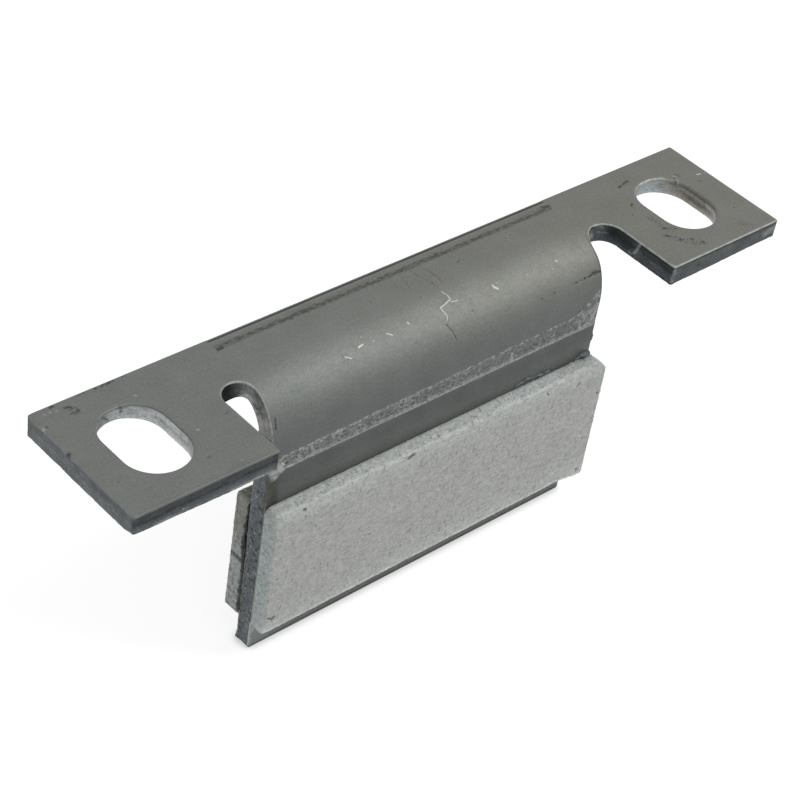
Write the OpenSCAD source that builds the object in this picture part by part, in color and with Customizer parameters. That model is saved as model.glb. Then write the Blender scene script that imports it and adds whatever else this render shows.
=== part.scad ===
// Guide shoe for a sliding lift door: a folded steel bracket with a glued lining on each side of its tongue.
// Millimetres. X runs along the shoe, Y from the wings' front edge to the back edge, Z up.
// The origin is midway between the two fixing slots, on the top face of the flange.

/* [Sheet] */
// Thickness of the steel sheet
sheet_t = 3; // [2:0.1:5]
// Inside radius of the fold between the flange and the tongue
fold_r = 5; // [2:0.5:8]

/* [Fixing slots] */
// Distance between the centres of the two slots
slot_pitch = 100; // [80:1:160]
// Width of a slot, along the shoe
slot_w = 10; // [6:0.5:13]
// Length of a slot from end to end, across the shoe
slot_l = 14; // [11:0.5:20]
// How far a slot's underside is broken out past its straight wall
break_out = 0.6; // [0.1:0.1:1]
// Height of the broken part of the slot's wall
break_h = 0.9; // [0.3:0.1:1.5]

/* [Flange] */
// Depth of the flange from its front edge to its back edge
flange_d = 23; // [19:0.5:40]
// From the left slot's centre to the flange's left end
end_left = 10; // [7:0.5:20]
// From the right slot's centre to the flange's right end
end_right = 11; // [7:0.5:20]
// From the wings' front edge to the slots' centre line
slot_set = 11.1; // [8:0.1:12]
// Radius of the flange's four outer corners
corner_r = 0.2; // [0.1:0.1:2]

/* [Tongue] */
// From a slot's centre to the inner edge of its wing
wing_in = 12.5; // [8:0.5:18]
// Distance from the flange's top face down to the tongue's bottom edge
tongue_drop = 46; // [36:0.5:70]
// How far the tongue's front face lies behind the wings' front edge
tongue_set = 7.4; // [4:0.1:8]
// How far the tongue and its notches sit off the middle of the slots
tongue_shift = 0.2; // [-2:0.1:2]

/* [Relief notches] */
// Width of the notch between a wing and the tongue
notch_w = 6; // [3:0.5:8]
// Depth of a notch from the wings' front edge to its round end
notch_d = 14; // [11:0.5:16]

/* [Linings] */
// Thickness of a lining
lining_t = 2.3; // [1:0.1:4]
// Height of the front lining
front_h = 22.3; // [12:0.1:27]
// Bare steel between the front lining and the tongue's bottom edge
front_bare = 4.8; // [2:0.1:8]
// How far the front lining's right end stands out past the tongue
front_over = 1.8; // [0:0.1:3]
// Cut across the front lining's top right corner
snip = 1.8; // [0.5:0.1:4]
// How far the front lining's bottom right corner hangs below its bottom edge
sag = 1.1; // [0:0.1:2]
// Length over which that corner runs down
sag_run = 5.5; // [3:0.5:10]
// Height of the rear lining
rear_h = 21.4; // [12:0.1:27]
// Bare steel between the rear lining and the tongue's bottom edge
rear_bare = 4.5; // [2:0.1:8]
// How far the rear lining's left end stands out past the tongue
rear_over = 0; // [0:0.1:3]
// Radius of a lining's square corners
lining_r = 0.6; // [0.2:0.1:2]

/* [Adhesive] */
// Thickness of the glue under the front lining
front_glue_t = 0.2; // [0.1:0.05:1]
// Thickness of the glue under the rear lining
rear_glue_t = 0.5; // [0.1:0.05:1]
// How far the glue stops short of the lining's and the tongue's edges
glue_in = 0.6; // [0.2:0.1:3]

/* [Hidden] */
// Fragments in a full circle
$fn = 64;
// How far a cutting shape runs past the face it cuts
past = 1;
// Outside radius of the fold
fold_out_r = fold_r + sheet_t;
// Y of the flange's front edge
front_y = -slot_set;
// X of the flange's left and right ends
left_x = -slot_pitch / 2 - end_left;
right_x = slot_pitch / 2 + end_right;
// The tongue's width, its left and right edges, and its front and rear faces
tongue_w = slot_pitch - 2 * (wing_in + notch_w);
tongue_left = tongue_shift - tongue_w / 2;
tongue_right = tongue_shift + tongue_w / 2;
tongue_front = front_y + tongue_set;
tongue_rear = tongue_front + sheet_t;
// Y of the line where the flat flange ends and the fold begins
fold_y = tongue_front + fold_out_r;
// Y of the centre of a notch's round end
notch_y = front_y + notch_d - notch_w / 2;
// Length of a lining, the same strip on both sides
lining_l = tongue_w + front_over;
// X of the left end of each lining
front_left = tongue_left;
rear_left = tongue_left - rear_over;
// Z of the bottom edge of each lining
front_low = front_bare - tongue_drop;
rear_low = rear_bare - tongue_drop;

// A rectangle from one corner, with its four corners rounded
module soft_rectangle(w, h, r) {
    translate([r, 0]) square([w - 2 * r, h]);
    translate([0, r]) square([w, h - 2 * r]);
    for (x = [r, w - r], y = [r, h - r]) translate([x, y]) circle(r = r);
}

// Cuts one slot through the flange: a straight wall below the top face, then a wall that breaks outwards
module slot_cut() {
    straight = slot_l - slot_w;
    low = -sheet_t - past;
    low_r = slot_w / 2 + break_out * (break_h + past) / break_h;
    flare = [[-low_r, 0], [low_r, 0], [slot_w / 2, break_h + past], [-slot_w / 2, break_h + past]];
    translate([-slot_w / 2, -straight / 2, low]) cube([slot_w, straight, sheet_t + 2 * past]);
    translate([0, straight / 2, low]) rotate([90, 0, 0]) linear_extrude(straight) polygon(flare);
    for (side = [-1, 1]) translate([0, side * straight / 2, low]) {
        cylinder(h = sheet_t + 2 * past, d = slot_w);
        cylinder(h = break_h + past, r1 = low_r, r2 = slot_w / 2);
    }
}

// A notch open to the front, with its centre line at the given X
module notch(x) {
    translate([x, notch_y]) circle(d = notch_w);
    translate([x - notch_w / 2, front_y - past]) square([notch_w, notch_y - front_y + past]);
}

// Plan of the flat flange without its slots; in front of the fold line the tongue's sheet is folded away
module flange_plan() {
    difference() {
        translate([left_x, front_y]) soft_rectangle(right_x - left_x, flange_d, corner_r);
        notch(tongue_left - notch_w / 2);
        notch(tongue_right + notch_w / 2);
        translate([tongue_left, front_y - past]) square([tongue_w, fold_y - front_y + past]);
    }
}

module flange() {
    difference() {
        translate([0, 0, -sheet_t]) linear_extrude(sheet_t) flange_plan();
        for (side = [-1, 1]) translate([side * slot_pitch / 2, 0, 0]) slot_cut();
    }
}

// Quarter ring that joins the flange to the tongue
module fold() {
    translate([tongue_left, fold_y, -fold_out_r]) intersection() {
        rotate([0, 90, 0]) difference() {
            cylinder(h = tongue_w, r = fold_out_r);
            translate([0, 0, -past]) cylinder(h = tongue_w + 2 * past, r = fold_r);
        }
        translate([0, -fold_out_r, 0]) cube([tongue_w, fold_out_r, fold_out_r]);
    }
}

module bracket() {
    color([0.43, 0.45, 0.45]) union() {
        flange();
        fold();
        translate([tongue_left, tongue_front, -tongue_drop])
            cube([tongue_w, sheet_t, tongue_drop - fold_out_r]);
    }
}

// Stands an outline drawn in X and Z upright, so that it fills from y to y + t
module upright(y, t) {
    translate([0, y + t, 0]) rotate([90, 0, 0]) linear_extrude(t) children();
}

// Outline of the front lining: a strip with a snipped top corner and a hanging bottom corner at its right end
module front_outline() {
    difference() {
        union() {
            translate([front_left, front_low]) soft_rectangle(lining_l, front_h, lining_r);
            translate([front_left + lining_l, front_low])
                polygon([[0, -sag], [0, lining_r], [-sag_run, 0]]);
        }
        translate([front_left + lining_l, front_low + front_h])
            polygon([[-snip, 0], [0, -snip], [past, -snip], [past, past], [-snip, past]]);
    }
}

module front_lining() {
    color([0.63, 0.64, 0.63])
        upright(tongue_front - front_glue_t - lining_t, lining_t) front_outline();
}

module rear_lining() {
    color([0.56, 0.56, 0.54]) upright(tongue_rear + rear_glue_t, lining_t)
        translate([rear_left, rear_low]) soft_rectangle(lining_l, rear_h, lining_r);
}

// A film of glue set in from the tongue's side edges and from the lining's top and bottom edges
module glue(y, t, low, high) {
    upright(y, t) translate([tongue_left + glue_in, low + glue_in])
        square([tongue_w - 2 * glue_in, high - low - 2 * glue_in]);
}

module front_adhesive() {
    color([0.13, 0.15, 0.16]) glue(tongue_front - front_glue_t, front_glue_t, front_low, front_low + front_h);
}

module rear_adhesive() {
    color([0.1, 0.12, 0.13]) glue(tongue_rear, rear_glue_t, rear_low, rear_low + rear_h);
}

bracket();
front_adhesive();
front_lining();
rear_adhesive();
rear_lining();
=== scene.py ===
"""Looks of a lift door guide shoe: a folded steel bracket, the linings glued to its tongue, and the glue.

The bracket is built the way it was made: a flat blank with punched edges, slots and notches, folded once.
Sizes are in millimetres until a mesh is made. In the blank, x runs along the shoe, s along the sheet from the
fold line (positive to the back, negative round the fold and down the tongue) and t is the depth below the
outer face.
"""
import math

import bpy
import numpy as np
from mathutils import Matrix, Vector, noise
from mathutils.geometry import delaunay_2d_cdt
from mathutils.kdtree import KDTree


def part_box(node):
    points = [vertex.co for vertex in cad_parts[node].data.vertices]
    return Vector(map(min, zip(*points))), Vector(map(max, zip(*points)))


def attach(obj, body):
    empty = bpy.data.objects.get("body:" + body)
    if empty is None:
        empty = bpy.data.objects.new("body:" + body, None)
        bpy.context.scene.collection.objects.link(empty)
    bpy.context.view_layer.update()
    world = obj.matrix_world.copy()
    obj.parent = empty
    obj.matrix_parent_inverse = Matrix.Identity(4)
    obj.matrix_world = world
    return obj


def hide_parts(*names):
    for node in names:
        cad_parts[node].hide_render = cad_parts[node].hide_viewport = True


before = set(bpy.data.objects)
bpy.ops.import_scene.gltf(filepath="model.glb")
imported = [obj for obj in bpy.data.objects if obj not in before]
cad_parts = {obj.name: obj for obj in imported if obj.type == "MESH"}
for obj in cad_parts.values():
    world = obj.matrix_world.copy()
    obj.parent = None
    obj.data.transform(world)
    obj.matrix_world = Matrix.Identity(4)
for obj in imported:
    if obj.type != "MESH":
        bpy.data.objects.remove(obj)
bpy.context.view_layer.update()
MM = 0.001


def box_mm(node):
    """Lowest and highest corner of a node, in millimetres."""
    return [np.round(np.array(corner) / MM, 3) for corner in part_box(node)]


# Sizes read from the frame
STEEL_LOW, STEEL_HIGH = box_mm("bracket")
FRONT_LOW, FRONT_HIGH = box_mm("front_lining")
REAR_LOW, REAR_HIGH = box_mm("rear_lining")
FRONT_GLUE_LOW, FRONT_GLUE_HIGH = box_mm("front_adhesive")
REAR_GLUE_LOW, REAR_GLUE_HIGH = box_mm("rear_adhesive")

# Sizes of the bracket
SHEET = REAR_GLUE_LOW[1] - FRONT_GLUE_HIGH[1]
FOLD_IN = 5.0
SLOT_PITCH = 100.0
SLOT_W = 10.0
SLOT_L = 14.0
NOTCH_W = 6.0
NOTCH_D = 14.0
GLUE_IN = 0.6
TONGUE_LEFT = FRONT_GLUE_LOW[0] - GLUE_IN
TONGUE_RIGHT = FRONT_GLUE_HIGH[0] + GLUE_IN
TONGUE_FRONT = FRONT_GLUE_HIGH[1]
FOLD_OUT = FOLD_IN + SHEET
FOLD_Y = TONGUE_FRONT + FOLD_OUT
TONGUE_MIDDLE = (TONGUE_LEFT + TONGUE_RIGHT) / 2
TONGUE_HALF = (TONGUE_RIGHT - TONGUE_LEFT) / 2

# How far the left wing's inner edge, the fold's left edge and the left notch's end lie off the plain shape
WING_IN = 0.42
FOLD_OFF = 0.2
NOTCH_BACK = 0.1
# How far the fold's inner layers are squeezed out at its sides, and how far its right side bulges
SQUEEZED = 0.22
BULGED = 0.5
# The burr's full size at the wings' front edges, which hang by a share of it, and how far the left end hangs
BURR_FRONT = 0.85
BURR_END = 0.4

# The same places along the blank
ARC = FOLD_OUT * math.pi / 2
S_BACK = STEEL_HIGH[1] - FOLD_Y
S_FRONT = STEEL_LOW[1] - FOLD_Y
S_NOTCH = S_FRONT + NOTCH_D
S_SLOT = -FOLD_Y
S_TIP = STEEL_LOW[2] + FOLD_OUT - ARC
WING_LEFT = TONGUE_LEFT - NOTCH_W + WING_IN
FOLD_LEFT = TONGUE_LEFT - FOLD_OFF
WING_RIGHT = TONGUE_RIGHT + NOTCH_W

# Edges: the roll-over at the top of a punched edge, and the broken lower part of its wall
CORNER = 0.3
SLOT_BREAK_T = 2.1
EDGE_BREAK_T = 1.6
# Spacing of the points along a punched edge
EDGE_STEP = 0.26

# Marks left by the press: a strip along the back edge, and a scuffed band below the fold
STRIP_ENDS = (TONGUE_LEFT + 0.1, TONGUE_RIGHT + 0.7)
STRIP_S = 5.5
BAND_TOP_S = -14.63
BAND_SLOPE = 0.013
BAND_LOW_S = -17.2
# The dark line near the back edge, and how much narrower the pale marks are drawn than they are listed
GROOVE_S = 7.05
PALE_NARROWED = 0.85

# How each sheared edge looks: brightness of its burnished upper part and of its torn lower part, darkness
# just under the rim and along the tear's start, brightness of the rim, which is a painted highlight (painted
# shade where negative), size of the rolled edge in mm, brownness, and how far its lower part is broken out
# in mm (negative: it stands out)
LOOKS = {
    "left_end": (1.02, 1.25, 0.1, 0.0, 0.15, 0.3, 0.1, 0.05),
    "left_front": (0.46, 0.62, 0.0, 1.0, -0.2, 0.26, 0.0, 0.05),
    "left_wing_inside": (0.35, 0.4, 0.2, 0.3, 0.12, 0.2, 0.0, 0.0),
    "left_notch": (0.10, 0.14, 0.0, 0.0, 0.7, 0.2, 0.1, -0.1),
    "tongue_left_high": (2.2, 2.8, 0.2, 0.1, 0.75, 0.22, 0.45, 0.26),
    "tongue_left": (1.06, 1.2, 0.1, 0.2, 0.1, 0.15, 0.0, -0.28),
    "tongue_tip": (0.45, 0.5, 0.2, 0.2, 0.05, 0.04, 0.3, 0.0),
    "tongue_right": (1.45, 1.6, 0.2, 0.2, 0.10, 0.1, 0.1, 0.0),
    "right_notch": (0.8, 0.7, 0.5, 0.0, 0.7, 0.15, 0.0, -0.1),
    "right_wing_inside": (0.6, 0.95, 0.6, 0.0, 0.8, 0.15, 0.0, -0.38),
    "right_front": (0.72, 0.7, 0.9, 0.0, 0.7, 0.14, 0.05, 0.05),
    "right_end": (0.9, 1.2, 0.5, 0.1, 0.35, 0.14, 0.1, 0.0),
    "back": (0.7, 0.95, 0.2, 0.2, 0.05, 0.04, 0.1, 0.0),
    "slot_left": (1.5, 1.7, 0.0, 0.2, -0.1, 0.12, 0.5, 0.7),
    "slot_wall": (3.8, 4.1, 0.0, 0.2, 0.0, 0.25, 0.3, 0.15),
    "slot_back": (3.2, 3.8, 0.2, 0.2, 0.05, 0.25, 0.25, 0.95),
    "slot_front": (1.0, 1.2, 0.2, 0.2, 0.05, 0.1, 0.1, 0.1),
    "worn_slot_left": (1.45, 1.6, 0.0, 0.2, -0.1, 0.1, 0.2, 0.5),
    "worn_slot_wall": (1.9, 2.3, 0.0, 0.1, -0.25, 0.45, 0.75, 0.45),
    "worn_slot_back": (3.2, 3.8, 0.15, 0.2, 1.0, 0.26, 0.0, 0.72),
    "worn_slot_front": (4.8, 5.4, 0.0, 0.1, 0.3, 0.12, 0.4, 0.3),
}
# Felt and glue differ only in how round their edge is
for name, roundness in (("felt_top", 0.5), ("felt_side", 0.5), ("felt_right", 0.14), ("felt_bottom", 0.1),
                        ("felt_crisp", 0.1), ("glue", 0.1)):
    LOOKS[name] = (1.0, 1.0, 0.0, 0.0, 0.0, roundness, 0.0, 0.0)
WALL_LOOKS = slice(0, 3)
TEAR_LOOK, RIM_LIGHT_LOOK, ROLL_LOOK, BROWN_LOOK, BREAK_LOOK = range(3, 8)


def smooth(value, low, high):
    """0 below low, 1 above high, and a smooth step between them."""
    share = np.clip((np.asarray(value, float) - low) / (high - low), 0, 1)
    return share * share * (3 - 2 * share)


def ripple(points, scale, seed):
    """Soft noise from -1 to 1 at each point, with a wave of about 1 / scale millimetres."""
    shift = Vector((seed * 17.3, seed * 5.9, seed * 11.1))
    return np.array([noise.noise(Vector(p) * scale + shift) for p in np.asarray(points, float).tolist()])


def fold(x, s, t):
    """Places points of the blank on the folded bracket. Beside the tongue the sheet leans less and less."""
    turn = np.clip(-s / FOLD_OUT, 0, math.pi / 2)
    radius = FOLD_OUT - t
    folded_y = FOLD_Y + np.maximum(s, 0) - radius * np.sin(turn)
    folded_z = radius * np.cos(turn) - FOLD_OUT + np.minimum(s + ARC, 0)
    off_middle = np.abs(x - TONGUE_MIDDLE)
    side = np.sign(x - TONGUE_MIDDLE)
    follows = 1 - smooth(off_middle, TONGUE_HALF, TONGUE_HALF + NOTCH_W / 2)
    by_edge = smooth(off_middle, TONGUE_HALF - 3, TONGUE_HALF)
    squeeze = SQUEEZED * np.sin(2 * turn) * (t / SHEET - 0.45) * by_edge * follows
    bulge = BULGED * (1 - smooth(turn, 0.75, 1.4)) * smooth(turn, 0.0, 0.12) * by_edge
    squeeze = squeeze + bulge * follows * (side > 0)
    y = folded_y * follows + (FOLD_Y + s) * (1 - follows)
    z = folded_z * follows - t * (1 - follows)
    return np.stack([x + side * squeeze, y, z], 1)


def turned(vector, angle):
    return np.array([vector[0] * math.cos(angle) - vector[1] * math.sin(angle),
                     vector[0] * math.sin(angle) + vector[1] * math.cos(angle)])


def outline(corners, step):
    """Points, outward normals and looks along a closed outline that runs anticlockwise round the material.

    Each corner is x, s, its radius and the look of the edge that follows it.
    """
    points, normals, looks = [], [], []
    starts, ends = [], []
    corners = [(np.array([x, s]), radius, np.array(LOOKS[look])) for x, s, radius, look in corners]
    for i, (here, radius, _) in enumerate(corners):
        before, after = corners[i - 1][0], corners[(i + 1) % len(corners)][0]
        way_in = (here - before) / np.linalg.norm(here - before)
        way_out = (after - here) / np.linalg.norm(after - here)
        angle = math.atan2(way_in[0] * way_out[1] - way_in[1] * way_out[0], way_in @ way_out)
        reach = radius * math.tan(abs(angle) / 2)
        starts.append((here - way_in * reach, way_in, angle, radius))
        ends.append(here + way_out * reach)
    for i, (start, way, angle, radius) in enumerate(starts):
        side = math.copysign(1, angle)
        left = np.array([-way[1], way[0]])
        centre = start + side * radius * left
        count = max(3, round(radius * abs(angle) / step))
        look_in, look_out = corners[i - 1][2], corners[i][2]
        for k in range(count + 1):
            at = centre - side * radius * turned(left, angle * k / count)
            if points and np.linalg.norm(at - points[-1]) < 1e-5:
                continue
            way_here = turned(way, angle * k / count)
            points.append(at)
            normals.append(np.array([way_here[1], -way_here[0]]))
            looks.append(look_in + (look_out - look_in) * k / count)
        gap = starts[(i + 1) % len(starts)][0] - ends[i]
        count = round(np.linalg.norm(gap) / step)
        way_out = turned(way, angle)
        for k in range(1, count):
            points.append(ends[i] + gap * k / count)
            normals.append(np.array([way_out[1], -way_out[0]]))
            looks.append(look_out)
    last = len(points) - 1 if np.linalg.norm(points[0] - points[-1]) < 1e-5 else len(points)
    looks = np.array(looks[:last])
    looks = np.mean([np.roll(looks, k, 0) for k in range(-4, 5)], axis=0)
    return {"points": np.array(points[:last]), "normals": np.array(normals[:last]), "looks": looks,
            "break_from": EDGE_BREAK_T}


def hole(loop):
    """The same outline as a hole: it runs clockwise and its normals point into the hole."""
    return {"points": loop["points"][::-1], "normals": -loop["normals"][::-1], "looks": loop["looks"][::-1],
            "break_from": SLOT_BREAK_T}


def point_tree(points):
    """Finds the nearest of some flat points."""
    tree = KDTree(len(points))
    for i, (x, s) in enumerate(points.tolist()):
        tree.insert((x, s, 0), i)
    tree.balance()
    return tree


def nearest(rings, normals, points):
    """Distance of each point inside the material from the rings, negative outside it, and the ring point."""
    ring, normal = np.concatenate(rings), np.concatenate(normals)
    tree = point_tree(ring)
    found = [tree.find((x, s, 0)) for x, s in points.tolist()]
    index = np.array([f[1] for f in found])
    away = np.array([f[2] for f in found])
    outside = np.einsum("ij,ij->i", points - ring[index], normal[index]) > 0
    return np.where(outside, -away, away), index


def fill(rings, normals, inner):
    """Triangles that cover the material between closed rings, by way of the inner points."""
    points = np.concatenate([*rings, inner])
    edges, first = [], 0
    for ring in rings:
        count = len(ring)
        edges += [(first + i, first + (i + 1) % count) for i in range(count)]
        first += count
    _, _, faces, origin, _, _ = delaunay_2d_cdt([Vector(p) for p in points.tolist()], edges, [], 1, 1e-7)
    faces = np.array([[origin[i][0] for i in face] for face in faces])
    middle = points[faces].mean(1)
    return faces[nearest(rings, normals, middle)[0] > 0]


def slab(loops, rows_of, outer_points, inner_points, clear):
    """A closed sheet: rings of points down each edge, and a triangulated skin on both faces.

    rows_of gives the rings of one loop, from the outer face to the inner one, each as x, s and t, and how
    many of them belong to the outer face's finish. clear is the least distance of a skin point from an edge.
    """
    flat, faces, finish, run = [], [], [], []
    first_rings, last_rings = [], []
    total = 0
    for loop in loops:
        rows, skin_rows = rows_of(loop)
        count = len(loop["points"])
        length = np.linalg.norm(loop["points"] - np.roll(loop["points"], 1, 0), axis=1).cumsum()
        for r, row in enumerate(rows):
            flat.append(row)
            run.append(length)
            if r == 0:
                continue
            a = total + (r - 1) * count + np.arange(count)
            b = total + r * count + np.arange(count)
            faces += np.stack([a, b, np.roll(b, -1), np.roll(a, -1)], 1).tolist()
            finish += [0 if r < skin_rows or r == len(rows) - 1 else 1] * count
        first_rings.append(total + np.arange(count))
        last_rings.append(total + (len(rows) - 1) * count + np.arange(count))
        total += len(rows) * count
    flat, run = np.concatenate(flat), np.concatenate(run)
    normals = [loop["normals"] for loop in loops]
    for rings, skin, under in ((first_rings, outer_points, False), (last_rings, inner_points, True)):
        ring_points = [flat[ring][:, :2] for ring in rings]
        skin = skin[nearest(ring_points, normals, skin)[0] > clear]
        made = fill(ring_points, normals, skin)
        index = np.concatenate([*rings, len(flat) + np.arange(len(skin))])
        made = index[made]
        faces += (made[:, ::-1] if under else made).tolist()
        finish += [0] * len(made)
        level = flat[rings[0][0], 2] if under else 0.0
        flat = np.concatenate([flat, np.column_stack([skin, np.full(len(skin), level)])])
        run = np.concatenate([run, np.zeros(len(skin))])
    gap, index = nearest([loop["points"] for loop in loops], normals, flat[:, :2])
    looks = np.concatenate([loop["looks"] for loop in loops])[index]
    return {"flat": flat, "faces": faces, "finish": finish, "run": run, "looks": looks, "gap": gap}


def put(name, data):
    """A new object in the scene."""
    made = bpy.data.objects.new(name, data)
    bpy.context.scene.collection.objects.link(made)
    return made


def mesh_piece(name, places, faces, materials, finish=None, values=None):
    """A smooth-shaded mesh object at the origin, with its place in its mesh. places are in millimetres."""
    mesh = bpy.data.meshes.new(name)
    mesh.from_pydata((places * MM).tolist(), [], [list(face) for face in faces])
    for material in materials:
        mesh.materials.append(material)
    if finish is not None:
        mesh.polygons.foreach_set("material_index", np.array(finish, np.int32))
    for label, data in (values or {}).items():
        data = np.asarray(data, np.float32)
        kind, field = ("FLOAT", "value") if data.ndim == 1 else ("FLOAT_VECTOR", "vector")
        mesh.attributes.new(label, kind, "POINT").data.foreach_set(field, data.ravel())
    mesh.shade_smooth()
    mesh.update()
    return put(name, mesh)


def give(piece, slot, *nodes):
    """Joins a finished piece to the frame: it rides on the bracket's body and stands for the named nodes."""
    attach(piece, "root")
    if nodes:
        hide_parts(*nodes)
    return piece


def as_marks(size, rows):
    """Marks from rows of numbers: half width, depth or strength, then points of size coordinates each."""
    return [([row[i:i + size] for i in range(2, len(row), size)], row[0], row[1]) for row in rows]


# Marks on the bracket's outer face, their points as x and s. Each has its depth below the face, negative
# where metal stands up.
DARK_MARKS = as_marks(2, [
    (0.2, 0.03, -59.2, 4.3), (0.22, 0.03, -56.7, 7.2, -56.2, 7.3), (0.14, 0.02, -52.5, 7.4, -52, 7.35),
    (0.1, 0.02, -51.5, 7.3, -51.2, 7.35), (0.15, 0.02, -49.8, 7.25, -49.5, 7.2),
    (0.13, 0.02, -48.8, 7.15, -48.2, 7.3), (0.15, 0.02, -47.9, 7.2, -46.7, 7.3),
    (0.1, 0.01, -45.3, 7.35, -44.6, 7.3), (0.09, 0.03, -38.5, -5.9, -37.8, -5.7),
    (0.3, 0.12, -60, -1.6, -59.8, -1.3), (0.2, 0.01, -45.5, -11.5, -45.1, -11.4), (0.17, 0.01, -57.7, -8.9),
    (0.22, 0.03, 47.8, 4.35, 46.9, 4.2), (0.18, 0.03, 45.9, 4, 45.4, 3.8), (0.22, 0.04, 58.1, -1.5),
    (0.16, 0.03, 57.4, -9.4), (0.18, 0.02, 44, -0.4, 43.6, -0.6), (0.12, 0.02, 41.9, -2.5),
    (0.22, 0.03, 43.6, -7.3, 43.9, -7.7), (0.2, 0.02, 42.4, -8.9, 42.9, -9.3),
    (0.2, 0.02, 46.1, -13, 46.4, -13.2), (0.1, 0.03, 25.7, -8.3), (0.15, 0.05, 26.5, -8.2, 26.7, -8.25),
    (0.13, 0.05, 27.35, -8.15), (0.1, 0.04, 27.8, -8.3), (0.18, 0.06, 28.3, -8.12, 28.5, -8.2),
    (0.12, 0.05, 29, -8.15), (0.24, 0.08, 29.4, -8.2, 29.8, -8.1), (0.36, 0.12, 30.1, -8.05, 30.8, -8.15),
    (0.24, 0.08, 31.2, -8.15, 31.55, -8.1), (0.2, 0.04, 22, -8.26), (0.18, 0.03, 19.4, -8.3),
    (0.17, 0.03, 6.7, -5.7), (0.06, 0.01, 6.9, -4.7, 7.3, -3.9), (0.15, 0.03, -4.6, -6.6),
    (0.15, 0.02, 0.4, -0.65), (0.13, 0.02, -6.4, 2.2), (0.14, 0.02, 4, 0.9),
    (0.08, 0.03, 1.35, -6, 2, -7.15, 2.4, -8.6), (0.07, 0.01, 3.4, 4.1, 3.45, 2.9, 4.05, 0.95, 4.1, -0.7),
    (0.14, 0.02, 4.05, 0.95), (0.06, 0.01, 3.3, 6.1, 3.3, 4.55, 3.35, 3.4),
    (0.06, 0.01, 5.1, 4.65, 5.55, 2.75, 5.5, 0.85), (0.05, 0.01, 5.55, 3.95, 5.85, 1.8, 5.5, 0.25),
    (0.06, 0.01, 1.25, 5, 0.75, 2.6, 0.2, 1), (0.05, 0.01, -0.75, 4.25, -1.15, 2.6),
    (0.06, 0.01, 13.3, 3.25, 13.9, 2.1), (0.22, 0.02, 43.7, -10.8, 43.9, -11),
    (0.2, 0.02, 45.3, -11.5, 45.5, -11.8), (0.07, 0.02, 10.3, 2.65, 11.3, 3),
    (0.1, 0.03, 55.9, 1.9, 56.2, 0.9), (0.12, 0.05, 55.2, 1.3, 54.6, 0.2, 54.1, -0.9),
    (0.17, 0.03, -30.5, -8.2, -30.7, -9.6), (0.16, 0.03, 27.9, -12.7), (0.16, 0.03, 27.2, -13.35),
    (0.14, 0.03, 24.9, -14.3), (0.14, 0.03, 23.85, -14.25), (0.28, 0.03, -31.1, 5.1, -30.3, 5.2),
])
BROWN_MARKS = as_marks(2, [
    (0.28, 0.01, -55, 6.15, -54.5, 6), (0.22, 0.01, -54.4, 5.6), (0.24, 0.01, -55.05, 4.8, -54.65, 4.7),
    (0.3, 0.01, -54.3, 4.75, -53.85, 4.95), (0.35, 0.01, 31.2, 6.3, 32.3, 6),
    (1.3, 0, -30.6, -18.4, -30.3, -23.2),
])
PALE_MARKS = as_marks(2, [
    (0.15, 0.02, 59, -0.1, 59.7, -0.3), (0.13, 0.02, 60.4, -0.45), (0.12, 0.02, 21.4, 3.6),
    (0.1, 0.02, 21, 2.85), (0.08, -0.02, 3.9, -1.2, 4.3, -2.2),
    (0.14, -0.06, 4.25, -2.2, 4.2, -2.9, 3.1, -3.2, 1.85, -3.5, 2, -4.3, 2.2, -5),
    (0.08, -0.02, 2.2, -5, 1.9, -5.5), (0.07, -0.01, 4.1, -3.3, 5.3, -3.5),
    (0.24, -0.05, 12, -3.55, 12.1, -3.95, 12.5, -4.25), (0.12, -0.02, 12.9, -3.4),
    (0.17, -0.04, -4.35, -3.5, -4.3, -3.7), (0.13, -0.04, -8.4, -3.7, -7.7, -4.3),
    (0.15, -0.04, -13.7, -3.95, -12.8, -3.8), (0.12, -0.01, -12.3, -2.75), (0.13, -0.02, -11, -3.95),
    (0.13, -0.05, -16.4, -4.4, -15.6, -4.95), (0.14, -0.03, 24.5, -3.9, 24.6, -4.1),
    (0.13, -0.03, 23.2, -4.9), (0.1, -0.01, 18.5, -4.1), (0.13, -0.05, -29.3, -15.9, -28.7, -16.6),
    (0.13, -0.05, -28.7, -15.9, -29.3, -16.6),
])
# A smeared lump at the fold's left end
SMEARED = as_marks(2, [
    (0.8, -0.14, -31, -14.6, -30.8, -16.4, -30.3, -17.9), (0.6, -0.14, -30, -16, -29.2, -17.3),
])
# Where fine dark specks gather
SPECKLED = as_marks(2, [
    (0.55, 0, 43.8, -4.3, 43.8, -6, 43.6, -7.4, 44.2, -8.3, 45, -8.4),
    (0.7, 0, 42.4, -8.9, 43.2, -10, 43.8, -10.9, 44.6, -11.8, 45.2, -12.7, 46.3, -13.2),
    (0.4, 0, 43.9, -0.3, 43.5, -1), (0.4, 0, 47.8, 4.3, 45.6, 3.8),
    (0.5, 0, -55.2, 6.1, -54.2, 5.4, -54.4, 4.6), (0.4, 0, 56.2, -14, 55.2, -12.8),
])
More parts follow.
